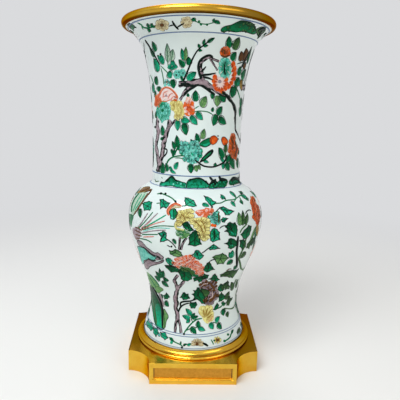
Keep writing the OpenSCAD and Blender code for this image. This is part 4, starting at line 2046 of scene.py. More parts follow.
def leaves(enamel: Enamel, *blades: Row) -> tuple[Leaf, ...]:
    """Gives leaves of one enamel, each from X and Y of its base and tip, and its width."""
    return tuple(Leaf(row[:2], row[2:4], row[4], enamel) for row in blades)


def petals(enamel: Enamel, lines: Enamel, *blades: Row) -> tuple[Leaf, ...]:
    """Gives single petals, in the same way as leaves, with their edges in a second enamel."""
    return tuple(Leaf(row[:2], row[2:4], row[4], enamel, LeafKind.PETAL, lines) for row in blades)


def strokes(enamel: Enamel, width: float, *paths: Row, end: float | None = None) -> tuple[Stroke, ...]:
    """Gives brush strokes of one enamel and width."""
    return tuple(Stroke(enamel, pairs(path), width, end) for path in paths)


def limbs(width: float, *paths: Row, end: float | None = None) -> tuple[Stroke, ...]:
    """Gives branches with black bark along their edges."""
    return tuple(Stroke(Enamel.AUBERGINE, pairs(path), width, end, bark=True) for path in paths)


def patches(enamel: Enamel, *outlines: Row, edge: Enamel | None = Enamel.OUTLINE,
            style: PatchStyle = PatchStyle.SMOOTH, layer: int = 0, shade: float = PLAIN_SHADE,
            mix: Enamel | None = None) -> tuple[Field, ...]:
    """Gives patches of one enamel."""
    return tuple(Field(enamel, pairs(row), edge, style, layer, shade, mix) for row in outlines)


def vine_leaves(enamel: Enamel, *outlines: Row) -> tuple[Field, ...]:
    """Gives toothed and veined leaves of one enamel."""
    return patches(enamel, *outlines, style=PatchStyle.TOOTHED,
                   shade=GREEN_SHADE if enamel is Enamel.GREEN else LEAF_SHADE)


def mounds(enamel: Enamel, moss: Enamel, *outlines: Row) -> tuple[Field, ...]:
    """Gives mounds of one enamel, dark at the top, with dabs of moss in another."""
    return patches(enamel, *outlines, style=PatchStyle.SCALED, shade=1.0, mix=moss)


def full_flowers(enamel: Enamel, mix: Enamel, lines: Enamel, *outlines: Row) -> tuple[Field, ...]:
    """Gives flowers full of petals in two enamels, with the petals' edges in a third."""
    return patches(enamel, *outlines, edge=lines, style=PatchStyle.RUFFLED, mix=mix)


def dots(enamel: Enamel, *spots: Row) -> tuple[Field, ...]:
    """Gives round dabs of enamel, each from its centre and radius.

    Args:
        enamel: Their enamel.
        spots: X, Y and radius of each.

    Returns:
        The dabs.
    """
    corners = np.arange(DAB_CORNERS) * 2 * math.pi / DAB_CORNERS
    return tuple(Field(enamel, tuple((x + r * math.cos(a), y + r * math.sin(a)) for a in corners),
                       None, layer=DAB_LAYER) for x, y, r in spots)


(DARK, GREEN, LIGHT, PALE, OLIVE, TURQUOISE, YELLOW, OCHRE, RED, CORAL, PINK, BLUSH, AUBERGINE, CREAM,
 INK, SEPIA, BLUE) = Enamel

# The motifs, from the lip down: each row of numbers holds pixels of the photograph as X,Y pairs
RIM_BORDER = (
    *vine_leaves(DARK, (126.5,24.5, 129,22.8, 133,24.5, 136.5,27.5, 134,31, 130,29.5)),
    *strokes(DARK, 1.3, (137.5,23, 141,24.5, 144,27.5, 149,27.8, 155,26.5), (141.5,24.5, 143,29.5)),
    *leaves(DARK, (148.5,27.5, 147.5,23, 2.6), (151,27, 152.5,23, 3), (149,28, 149,32.5, 3),
        (152,27, 156,26, 2.4), (191.5,18.5, 196,21, 4)),
    Bloom((162, 25), (7.5, 6.2), 6, CREAM, CREAM, SEPIA, SEPIA, start=-1.57, full=True),
    *strokes(INK, 2, (172.3,20.8, 174.5,25, 178.5,29.5)),
    *strokes(INK, 1.5, (169,26.3, 171.5,25.3, 174,25), (177,27.5, 180.5,25.2, 184,23.3)),
    Bloom((186.5, 22.3), (6, 6.3), 6, CREAM, lines=SEPIA, start=-1.2, full=True),
    *strokes(DARK, 1, (193,20, 201,23.5, 208,24, 214,22.5, 219,23)),
    *dots(DARK, (199,21.5, 1.3), (201,24.3, 1.3), (207,24.6, 1.2)),
    *leaves(DARK, (213,22, 214.5,18.3, 2.4), (214.5,20.5, 220.3,24, 3.6)),
    *mounds(DARK, OLIVE, (221,31, 222,28, 226,26, 231,25, 236,22.5, 241,20.5, 246,21, 252,23, 255,27,
        256,33, 252,34, 244,31.5, 236,32, 228,31, 224,32)),
    *mounds(OLIVE, LIGHT, (256,30, 261,27, 265,27.5, 265,31, 262,34, 258,36)),
    *strokes(INK, 2.4, (258,31.5, 261.5,29, 265,29.5), (262,31, 258.5,36.5), (266,33, 262,40)),
    *leaves(OLIVE, (262,33, 257,39, 2.6)),
)

NECK_TOP_LEFT = (
    *strokes(INK, 1.5, (145,40, 150,47.5, 155,56, 160,65), end=1.1),
    *leaves(DARK, (155,57, 149.5,48, 3), (156,52, 152,41, 4), (184.8,67, 178.5,59.5, 5.6),
        (189,65.5, 188.5,56.5, 5.6), (172,79, 174,88.5, 6), (181,76, 183,82, 2.5), (156,85, 157,76, 3.5),
        (155.5,84, 155,76, 2), (158.5,86, 159,92, 4), (154.5,92, 156.5,97, 3)),
    *leaves(GREEN, (164.5,64, 157,55, 4), (164,63, 160.5,54, 3), (159,72, 153.5,58, 5),
        (168,71.5, 171.5,78, 6), (172,66, 174,60.5, 5), (172,66, 178,67, 5), (172,66, 167.5,68, 5),
        (152,85, 155,92, 4), (186.5,80, 196.5,72, 7), (172,66, 172.5,70.5, 4)),
    *leaves(LIGHT, (185,61.5, 186,46.5, 4.2)),
    *leaves(GREEN, (183.5,60.5, 181.5,48, 4)),
    *leaves(PALE, (168,63, 167,43, 5), (171,61, 173,49, 5.5)),
    *strokes(DARK, 0.7, (168,66, 167.6,56, 167,46), (171,63, 172,57, 173,51.5)),
    *strokes(DARK, 0.9, (161,66, 165,70, 168,73), (161,68, 162.5,74, 163.5,80, 164,85), (150.5,75, 154,84)),
    Bloom((177.3, 74.3), (4.6, 4.8), 6, TURQUOISE, lines=DARK, full=True),
    Bloom((182.6, 72.8), (3.4, 4.2), 5, TURQUOISE, lines=DARK, full=True),
    *dots(TURQUOISE, (165,85.5, 1.3), (169,85, 1.3)),
    *dots(INK, (160.5,54, 1), (176.5,75, 0.9), (179,72, 0.7), (183,73, 0.8)),
    Bloom((167, 82), (3, 3), 5, TURQUOISE, heart=YELLOW),
    *strokes(INK, 1.9, (183,82, 188,70, 193,58, 198,50, 204,45, 213,38), end=1.2),
    *leaves(DARK, (207,42.5, 215,37.7, 3.4), (203,45, 205,38.7, 2.8), (200,48, 198,43.7, 2.8),
        (198,50, 202.5,50.7, 2.6), (203,46, 208.5,45.5, 2.8)),
)

GNARLED_BRANCH = (
    *limbs(6, (195,84.5, 190,87, 185,92, 180,100), end=2.2),
    *limbs(5.6, (179,84.5, 186,83, 193,81.8, 200,81, 206,83, 212,88, 216,91, 221,94, 226,96), end=3.4),
    *limbs(3.2, (226,95, 230,99.5, 233.5,105, 235.5,112, 235,118, 235.3,126, 235.5,130, 238,135, 240,141),
        end=1),
    *strokes(INK, 1.6, (228,97.5, 232,102.5, 235,109, 235.3,118, 235,128), end=1.4),
    *limbs(8.5, (194,82.8, 200,82, 206,84, 212,88.5), end=6),
    *limbs(4.6, (202.5,80, 201.3,72, 200.3,66, 202,61.5, 206,58.5, 209.5,57, 213,59, 219,61.5), end=2.4),
    *limbs(2.4, (210,58.5, 213.5,64, 217.5,70.5), end=1.6),
    *strokes(INK, 2.8, (200,76.5, 204,75, 209,74.5, 216,73), (202,77, 208,78, 213,80),
        (200.5,72, 203,70, 206,66.5), (222,91.5, 226,95, 230,98.5), end=1.4),
    *strokes(INK, 5, (178.5,85.5, 183,84.3, 188,83.2), end=2.2),
    *strokes(INK, 2.4, (201,79, 199.3,73, 198.3,66.5, 200,60.8, 204.5,57, 209.5,55.3, 213,57)),
    *strokes(INK, 2.6, (184,86, 193,85.5, 200,85, 205.5,88, 211,92, 215,94.5),
        (183.5,96, 187.5,91, 193,87.5, 197,85.5)),
)

NECK_TOP_RIGHT = (
    *full_flowers(RED, CORAL, SEPIA,
        (220.5,55, 220.5,50, 223.5,47, 227.5,47.5, 230,51, 229,55.5, 224.5,57)),
    *leaves(DARK, (229,49, 229,36, 6), (231,60.5, 236.5,52, 6), (247,64, 252,46, 2.6),
        (249,68, 255,50, 2.2), (238.5,76, 240.5,66, 4), (241,79, 246,69.5, 5), (234,97, 231,86.5, 6),
        (213,92, 212,99.5, 4), (220,93, 225.5,102, 7.4), (242,98, 240,108.5, 5.4), (241,106, 239.5,117, 5)),
    *leaves(OLIVE, (234,50.5, 239.5,37, 7)),
    *leaves(SEPIA, (241.5,61.5, 241,51, 4.6), (245.3,62, 246,48, 5), (244.6,69, 244.2,61.5, 3.2)),
    *strokes(INK, 1, (237,64, 242,62.5, 247,63)),
    *strokes(SEPIA, 2.2, (221,55.5, 225,56.8, 229,55.5), (224.5,49.5, 225,54), (221.5,52, 223,48.5)),
    Bloom((225, 68), (7, 11.5), 12, TURQUOISE, GREEN, None, DARK, full=True),
    *strokes(INK, 2, (225,75, 224.5,68, 225.2,61.5), end=1),
    *strokes(BLUSH, 0.7, (222.5,71, 220,74), (222,67, 219.5,66), (227.5,66, 230.5,64), (227.5,71, 230,74)),
    *petals(RED, CORAL, (231.3,68, 234.8,61.5, 4.6), (231.3,72, 236.6,67, 4.8), (231.3,76, 236.8,72.6, 4.8),
        (230.3,79.5, 236,78, 4.8), (229,82, 233.5,83.5, 4.8), (228,83.5, 230,88.5, 4.8)),
    *patches(BLUSH, (215.5,79, 219,77, 224,78, 225,82, 223.5,87, 220,89, 216.5,86.5), edge=None, shade=0),
    *petals(RED, CORAL, (218,81, 213,75, 5), (218,82.5, 211.5,80, 5), (218,84.5, 212,86, 5),
        (218.5,86, 214.2,91.5, 5), (219.6,86.5, 218,93.8, 5), (221.3,86.5, 222.5,93.5, 5),
        (222.5,85.5, 227.5,89.5, 5), (223,83.5, 229,84.5, 5), (223,82, 228.3,78, 4.6)),
    *dots(AUBERGINE, (219.7,81.5, 1.8)),
    *dots(DARK, (162.5,110.5, 1.5)),
    *leaves(GREEN, (238,80, 239,86, 4)),
    *leaves(OCHRE, (241,79, 241.5,91, 3.4)),
    *strokes(DARK, 0.9, (235,85, 238,92, 240,99)),
    *leaves(LIGHT, (218,95, 217,107, 6.5)),
    *leaves(DARK, (234.5,86, 239.5,77.5, 4.6), (232.5,93, 236.5,86, 5)),
    *strokes(INK, 1.4, (241,68, 246,58, 251,49), (217,92.5, 222,95.5, 227,97)),
)

NECK_MIDDLE = (
    *patches(BLUSH, (159.5,99, 159,94, 161.5,89.5, 165.5,87, 170,88, 174.5,91.5, 178,97, 176,100.5, 170,100,
        166,101.5, 162,101), edge=RED, shade=0),
    *strokes(CORAL, 1.7, (159.5,96, 161.5,90.5, 165.5,87.5, 170,88.5, 174.5,92.5, 178,98)),
    *strokes(PINK, 1, (163,98.5, 164,93, 168,91), (168,99, 170,94.5, 173,93.5),
        (171,99.5, 173.5,96.5, 176,97)),
    *dots(AUBERGINE, (166.3,95.7, 1.1)),
    *strokes(PINK, 0.8, (166.3,95.7, 166,92), (166.3,95.7, 163,97), (166.3,95.7, 169,97.5)),
    *full_flowers(RED, CORAL, CORAL, (155.5,98, 158.5,96, 161,99, 160,103, 157.5,106, 155,104)),
    *petals(RED, SEPIA, (174,97, 178,97.5, 4), (173.5,99, 177,101, 4)),
    *full_flowers(TURQUOISE, GREEN, DARK, (157.5,106, 160,102.5, 164.5,102, 168.5,104.5, 170,109, 169.5,115,
        166.5,119.5, 161,120, 157.5,116, 156.5,111)),
    *full_flowers(YELLOW, YELLOW, OCHRE, (171,103, 174.5,100.5, 178,103, 182,104, 184,108.5, 184,114,
        180.5,118.5, 176,118, 174,112, 171.5,108.5)),
    *full_flowers(RED, BLUSH, CORAL,
        (184,103, 187,99, 191,99.5, 193.5,104, 194,109, 191.5,114, 188,116, 185,113.5, 184,108)),
    *leaves(DARK, (155.5,118, 156.5,111, 2.5), (188,97, 188,93, 2.5), (195.5,102, 195.5,90, 6.5),
        (216.5,115, 222.5,106.5, 5.6), (216.8,114, 213,126, 6.2), (218,117.5, 226.3,124, 6.4),
        (212,112, 213.3,107, 2.8), (163,136, 162,125, 4), (161.5,137, 162,140.5, 2.5)),
    *leaves(LIGHT, (201,107.5, 206.5,96, 7)),
    *strokes(DARK, 1, (194,109, 199,106), (193,112, 200,111, 208,112, 213,115)),
    *leaves(GREEN, (196,112, 203,120, 5.5), (190,115.5, 197.5,125, 6), (180.5,119.5, 190,121.5, 6.6),
        (177.5,119, 177.5,131, 5.4)),
    *limbs(4.2, (158,119, 157,124, 158,132, 157,140, 156,146, 157,152, 158,160, 159,165, 158,170)),
    *limbs(4, (170,120, 168,129, 166,135, 164,142, 163,148, 162,155, 160,162, 159,166), end=4.4),
    *limbs(2.2, (176,119.5, 172,124, 169,128)),
    *strokes(INK, 1.2, (163,148, 167,150, 166,154, 162,158)),
    *dots(INK, (155.5,127, 1.2), (159,166, 1.8), (158,170, 2)),
    *leaves(DARK, (183.5,122.5, 186.5,135.5, 6.8), (176,113.5, 180,120, 2.6)),
)

NECK_BOTTOM = (
    *leaves(DARK, (178,148, 176.5,135, 5), (175.5,149.5, 172,141, 3.6), (177,149.5, 182.5,145.5, 3.6),
        (175.5,150, 172,156, 3.4), (171,149, 173.5,155, 2.4), (190.5,163.5, 191,173.5, 6),
        (215,167, 215.5,162.5, 3), (224,158.5, 218.5,147.5, 5.6), (226,162, 231.5,153.5, 3.4),
        (225.5,162, 229.5,170.5, 4.6), (230,157, 234.5,169, 4.6), (237,158, 238,168.5, 4),
        (239,150, 238,155, 2), (162.5,174, 162.5,162, 5.4), (168,171.5, 165.5,163, 3.6),
        (153.5,152, 153,165, 2), (193.5,145, 190.5,139, 3), (199,143, 196,133, 5)),
    *strokes(DARK, 1.4, (166,166, 168,161, 172,157.5, 178,156, 184,155.5), (172,158, 175,153, 178,147)),
    *strokes(DARK, 1, (175,158, 180,158, 185,159.5)),
    *strokes(INK, 1.6, (195,160, 199,163, 204,166, 212,167, 219,165, 224.5,161.5, 227,155)),
    *full_flowers(TURQUOISE, GREEN, INK, (180.5,147, 182,142.5, 186,141.8, 189,144.5, 192,141.5, 197,141.5,
        200,145.5, 200.5,150, 201.3,154, 199.5,159, 196,162.5, 191,164, 187,161.5, 183.5,160.5, 183.5,157.5,
        185.5,155, 181,152.5)),
    *patches(INK,
        (199.5,162.5, 202,158, 205.5,154, 209,150.8, 212.5,149.3, 213.5,151.5, 211.5,155, 208,158, 204,161),
        edge=None),
    *strokes(DARK, 2, (202.5,160, 207,156, 211,152.5)),
    *leaves(GREEN, (203,160.5, 209,162.5, 3), (224.5,162, 219.5,157.5, 2.6), (223.5,162.5, 223,169.5, 3),
        (169,167, 173,170.5, 2.6), (170,170, 176,173.5, 2.6), (174,169, 178.5,162, 4)),
    *leaves(LIGHT, (202,139.5, 204.5,128.5, 5), (195.5,165, 197,172, 4.4), (198,164.5, 200.5,170, 3)),
    *patches(DARK, (199.5,144, 202.5,141, 206.5,139, 210.5,138, 211,143, 209,145.5, 205,147, 201,146)),
    *patches(GREEN, (203,144.5, 206.5,143.5, 210,142.5, 208.5,145.3, 205,146.5), edge=None, layer=3),
    *patches(RED, (210,138.3, 212,136.2, 215,135.8, 217.8,139, 216.3,142.5, 213,144.6, 210.4,143),
        edge=SEPIA),
    *patches(RED, (221.3,140, 222.3,137.3, 225,137.3, 227.8,141, 226.5,144.5, 223.3,145)),
    *full_flowers(RED, CORAL, SEPIA, (229.3,143, 230.3,138, 232,134.3, 234.3,134.3, 235.3,138, 234.8,142,
        236.5,146, 238,149.5, 237,154, 235.7,159, 233.3,158, 231,155.5, 228.8,152, 228.4,147.5)),
    *dots(CORAL, (232.3,140, 0.9), (234,146, 1), (231.6,149.5, 0.9), (236,150.5, 0.9)),
    *strokes(SEPIA, 1.6, (231,137, 233,143, 232,150), (235,141, 236.5,149, 234.5,156.5)),
    *leaves(OLIVE, (225.5,153, 226,142.5, 3.4)),
    *strokes(OLIVE, 1, (225.5,152, 225.5,161)),
    *dots(INK, (218,136, 0.7), (218.3,139, 0.6)),
)

WAIST_BAND = (
    *mounds(GREEN, DARK, (160,183.5, 161,182.5, 165,182, 168,179, 170,177.5, 172,176, 174,178, 175.5,180,
        178,180.5, 182,182, 186,183.5, 186,188, 178,187.5, 172,186, 165,186, 160,186.5), (186.5,184,
        188.5,180, 192,179, 196,178, 200,178, 202,179.5, 206,181.5, 208,183.5, 210,186, 206,188, 195,188,
        187,188)),
    *strokes(INK, 1.5, (165,182, 168,179.3, 172,176.3, 175.5,180, 179,181),
        (188,181, 192,179.2, 199,178.2, 204,180.5, 209,184.5)),
    *dots(TURQUOISE, (173.5,184.3, 0.9), (181,184, 1), (177.5,183, 0.7), (186,186, 0.9)),
    *strokes(INK, 3, (209.5,177, 212.5,180.5, 216,184.5), (216,179.5, 212,182, 209,185), end=2),
    *mounds(DARK, GREEN, (213,186, 216,183, 219,181, 219.5,179, 221,178, 224,178.5, 227,180, 227,183,
        226,186, 222,187.5, 216,187.5), (229,182, 230,180, 233,177, 236,178.5, 238.5,177.5, 239.5,180,
        239,182.5, 236,184, 232,185, 229.5,184.5)),
    *strokes(INK, 3, (219,176, 221,179.5, 226,180), (231,180.5, 234,178.3, 239,179.5)),
    *strokes(OLIVE, 0.9, (155,179, 156,181.5, 159,181), (161.5,177, 162.5,178.5)),
    *mounds(DARK, GREEN, (208.5,188, 210.5,183, 213,180.5, 216,181, 218,184, 217,188)),
)

PHEASANT = (
    *patches(OCHRE, (137,192, 140.5,188.6, 144,187.3, 148.5,186.5, 150,188, 147.5,191, 142,192.3),
        edge=SEPIA, shade=1.0),
    *strokes(SEPIA, 2, (144.5,192, 148,190.5, 152,189.8), (140,191, 145,189.5, 149,188)),
    *patches(PALE,
        (139,193, 144,192, 148,193, 144.5,198, 140,205, 136.5,211, 133,215, 131,212, 131.5,206, 134.5,199),
        edge=None, shade=0),
    *strokes(DARK, 2.8, (139.5,192.7, 135,198, 132,205, 131.3,212)),
    *strokes(GREEN, 0.9, (142,194, 137,202, 133,211), (145,194, 140,202, 135,210)),
    *strokes(SEPIA, 1.3, (151.5,190.5, 145.5,198, 140,206, 134,214.5)),
    *strokes(SEPIA, 0.7, (148,193, 142,202, 136.5,210)),
    *patches(DARK, (129,212.5, 131.5,214, 134,213, 133.5,217, 132.5,221, 131.3,227, 129.5,222, 129,217),
        edge=None),
    *patches(AUBERGINE, (132.5,229, 137,227.5, 140.5,231, 140.5,236, 139,240, 136.5,240, 134,236),
        edge=None, shade=0),
    *strokes(AUBERGINE, 1.1, (136.5,229, 141,223.5, 148,213), (141,229, 148,222.5, 158,213),
        (140,233.5, 152,231, 166,230)),
    *strokes(PINK, 1, (141,228, 147,224, 152,219.5), (141,230, 154,224, 165,221), (143,237, 154,236.5)),
    *strokes(DARK, 1, (138,229, 146,220.5, 153,212), (143,230, 158,226, 175,226.5), (142,234.5, 158,234.5),
        (140,238.5, 147,240, 152,243)),
    *strokes(GREEN, 1.3, (141,229.5, 154,222, 166,215)),
    *strokes(TURQUOISE, 0.9, (143,231.5, 156,228, 170,228.5)),
    *strokes(SEPIA, 0.9, (135,227, 139,228.5, 142,231), (135,230, 139,232, 142,233.5), (136,238, 140,238.5),
        (135.5,234, 139,235.5, 142,236), (143,227, 142.5,230), (145.5,226, 145,229.5), (148,226, 148,229)),
)

BODY_TOP_LEFT = (
    *leaves(DARK, (140,208, 140.5,218, 4), (173,238.5, 176,244.5, 3)),
    *vine_leaves(GREEN, (142.5,203.5, 145,202, 149,201, 152.5,202, 151.5,205, 151.5,208, 150,210.5, 147,210,
        144,211, 143.5,207), (159.7,199.3, 163.5,199, 166,201.3, 170.3,203, 168.3,206, 166.3,208.8,
        163.5,207, 160.3,209.2, 160,204.5), (157.5,233, 161,232.5, 163,231, 165,231.5, 166.5,233, 166.5,236,
        166,238, 168,240, 164,241.5, 160,242, 160.5,239, 161.5,237, 160,235.5)),
    *strokes(DARK, 1.2, (156.5,203.5, 160,203),
        (157,194, 161,193.5, 165.5,195, 169,196.5, 173,199, 175.5,202, 178,205),
        (180,206, 184,206, 188,205)),
    *strokes(INK, 1, (167,239, 171,242, 174,245, 176,248), (167,245, 170.5,247)),
    *dots(INK, (161,193.5, 1.2), (165.5,193.8, 1.2), (175.5,201.5, 1.2), (171.5,246.5, 1)),
    *strokes(CREAM, 2.6, (171.5,209, 176,206.8, 181,207.8)),
    *strokes(CORAL, 2.8, (168.8,215.5, 168.3,210.7, 171,207.3, 175,204.3, 182,206.3), end=1.6),
    *strokes(RED, 0.8, (167.3,214.5, 167,210.2, 170,206, 175,203, 181,205)),
    *vine_leaves(GREEN, (169,212, 171,209.5, 173.5,208, 176,209.5, 178,213, 177,217, 173.5,220, 170.5,218)),
    *dots(TURQUOISE, (171.5,218.3, 1.4)),
    *strokes(DARK, 2.6, (174,209.5, 175.5,213, 175,217.5)),
)

CHRYSANTHEMUMS = (
    *vine_leaves(GREEN, (185,197.3, 188.3,198, 191,199.3, 194,200.3, 195,203, 197,206, 193,207, 189,206.3,
        185.5,205, 184.5,201), (190.5,255, 193.5,254, 195,251, 196.5,249.8, 199,250.5, 201,253, 204,255.5,
        202,258, 199.5,260, 196,258.5, 193,256.5),
        (208,248, 211,246, 213.5,244, 216.5,246, 220.5,248.5, 215,249.3, 210,250)),
    *vine_leaves(GREEN, (203.5,195.5, 208,197, 211,198.5, 212.5,200.5, 216.5,202, 214,204.5, 211,206.5,
        208.5,203.5, 205.5,200)),
    *leaves(GREEN, (202,203.5, 209.5,206.5, 3.6)),
    *dots(INK, (212,207, 1.1)),
    *full_flowers(YELLOW, YELLOW, SEPIA, (177,214, 179,212.5, 182,211, 186,210, 190,209, 193,211, 192,214,
        193,217, 192,220, 188,221, 184,222, 181,224, 178,225, 176,223, 177,220), (190,220, 194,218.5,
        200,217.5, 206,218, 209,221, 210,226, 209,231, 208,236, 206,240, 202,239.5, 199.5,236, 198,231,
        195,228, 192,224)),
    *strokes(YELLOW, 2.2, (176,222, 176,228, 184,230)),
    *strokes(OCHRE, 1, (195,221, 200,226, 203,233), (200,220, 204,225, 205.5,232),
        (181,214, 184,217, 184,221)),
    *full_flowers(CORAL, BLUSH, RED, (197,212.5, 200,210.3, 205,209, 210,208.7, 213.5,210.3, 212,213.3,
        208,214.5, 206,217, 202,216.5, 199,215)),
    *full_flowers(TURQUOISE, GREEN, INK, (210,213, 212,211.5, 215,212.5, 217.5,211.5, 218.5,216, 219,220,
        218,224, 214,223.5, 210.5,220.5, 209.5,217)),
    *strokes(SEPIA, 1.3, (218,212.5, 219,217, 218.5,223)),
    *dots(RED, (212.5,225.3, 1.6), (215,225.8, 1.5)),
    *vine_leaves(DARK,
        (182,224, 185,222, 188,222, 190,225, 192,228, 194.5,230.5, 190,231.3, 186,229.5, 183.5,227),
        (195.5,230, 199.3,232.5, 200.5,236.5, 200,240, 202,244.3, 198,245, 195,246.5, 191,245, 188,245,
        189.5,241, 188.5,238, 190,234.5, 192.5,232)),
    *vine_leaves(GREEN, (214,227.8, 217,229.3, 219.7,232.5, 219.2,236, 220.3,239.7, 216,240.7, 213,242.3,
        210.3,240.3, 209.8,236, 210.3,232, 212,229.3)),
    *strokes(DARK, 1.8, (214,229.5, 215,235, 214.5,240), (212,233, 215,236, 218,233.5)),
    *full_flowers(LIGHT, PALE, DARK,
        (178,229, 182,230, 188,230, 189.5,233, 187,236, 184,238, 180,237.5, 177.5,234)),
    *limbs(2.5, (180,237.5, 179.5,243, 179,250), (186.5,238, 183,243, 181,250)),
    *strokes(INK, 1, (202,253, 205,251, 208,248.5, 211,247)),
)

BODY_RIGHT = (
    *strokes(DARK, 1.1, (211,206, 216,203.5, 221,203, 226,200.5, 234,199.5, 238,197, 241,195.5, 246,199.5),
        (226,200.5, 224,197.5), (236,198.5, 233.5,194), (236,199, 233,203), (239.5,197, 242.5,203.5)),
    *vine_leaves(GREEN, (220.5,194.5, 222.5,195, 225,197, 225.5,199, 222,199.5, 220.5,197.5),
        (221,219.5, 223,217.5, 226,218, 228.5,218.5, 226,220, 224.5,222.5, 222,222), (219.5,207.5,
        223,206.3, 226,208, 228.5,209.5, 231,210, 234.5,211, 231.5,213, 229,215.3, 225,215, 223.7,212,
        221,209.7)),
    *leaves(GREEN, (229.5,191, 236.5,198, 2.5), (241,195, 247,197.5, 3), (231,201, 235.5,207, 3),
        (231,258.5, 232.5,250, 4), (231,258, 229,252, 3)),
    *leaves(DARK, (246,197.5, 248.5,201, 2), (240,200, 243,204.5, 2.5), (233,260, 226.5,264.5, 4),
        (237,265, 233.5,270, 2.5)),
    *strokes(INK, 2, (238,236, 237.5,244, 236.5,252, 237,260, 237,266)),
    *vine_leaves(DARK, (238.5,191.5, 241,191, 243,193, 241,195), (228,223, 230,222, 233,223.5, 235,222,
        237,226, 237.5,230, 237,234, 236,237, 232,236.3, 229,235.5, 228,232, 224,231.5, 227.5,229, 225,227),
        (248.5,225, 251.5,226, 251,230, 249.5,235, 246,239.5, 243,238.5, 240.5,234.5, 244,230), (228.5,239,
        231,238, 234,239, 237,241, 237,245, 234,247.5, 231,249, 228,248, 228.5,245.5, 224,243.5, 228,242),
        (239.5,240, 244,239, 246,243, 245.5,247, 242,250, 239.5,246.5), (209.5,261.5, 211,264, 212.5,267,
        215,269.5, 211.5,270, 209,271.5, 207,272.5, 204.5,271, 203,269.5, 205,266, 207,263),
        (208,279, 211,278, 213,275, 215,273.5, 217,276, 218,278.5, 220,279.5, 216,281.5, 212.5,280.5),
        (218,287, 219.5,285, 220.5,283.5, 222,284, 223.5,286, 224,288, 223,291, 220,291.5, 217.5,290)),
    *strokes(INK, 1, (216,212, 218,209.5, 221,207.5, 224,207), (219.5,228.5, 223,226, 229,225.5),
        (245.5,214, 246.5,211.5, 249,210, 251,210.5), (209.5,261.5, 212,260, 216,259)),
    *leaves(LIGHT, (240,226, 238.5,212, 5), (256,226, 249,243, 2)),
    *leaves(OLIVE, (242.5,226, 242.5,210, 3.8), (245,225, 247.5,213, 3.4), (246,251.5, 240,258.5, 3.5),
        (255,240, 252,250, 1.6)),
    *strokes(GREEN, 1.6, (230,231.5, 233,233.5, 236,234.5), (230,245, 233,245.5)),
    *strokes(OLIVE, 1.3, (247,224, 242,229, 240,233),
        (246,238, 244,247, 241,253, 239,258, 240,263, 241,268, 243,269.5, 245,267),
        (236,279, 234.5,283, 233,288), (239,279, 236,283)),
    *vine_leaves(OLIVE, (253,237, 254,241, 250,246, 249,249, 246,248, 247,244, 250,240), (220,274.5,
        225,272, 228,270.5, 232,270, 239,268.5, 236.5,272.5, 234,276, 232.5,278, 229,277.5, 225,276.5,
        220.5,277),
        (225,285, 226.5,282, 227.5,280.5, 229,282, 228.5,284.5, 230,286, 229,289, 226.5,289, 225,290)),
    *vine_leaves(LIGHT, (212,257, 216,255, 219.5,254.5, 222.5,253, 226,255, 229,258, 226,260, 223.5,264,
        220,263.5, 217,264.5, 215.5,261, 214,258.5)),
    *strokes(SEPIA, 0.9, (226,271, 229,269, 231.5,269)),
    *full_flowers(RED, RED, SEPIA, (250.8,200, 252.3,197, 254.5,199, 256,203, 258,206, 259.5,210, 260,215,
        259.5,220, 258,225, 256,222.5, 254,218, 252.7,212, 251.3,206)),
    *strokes(CORAL, 1.2, (253,199, 255.5,206, 256.5,213), (255,213, 257.5,219)),
    *patches(OCHRE, (257,224, 258.5,226, 258.5,231, 257,236, 256,232, 256,227), edge=None),
    *leaves(DARK, (258,228, 254,239, 3), (255.5,236, 251,246, 2.6)),
    *leaves(OLIVE, (233,290, 231,282, 3), (236,288, 237,279, 2.4)),
)

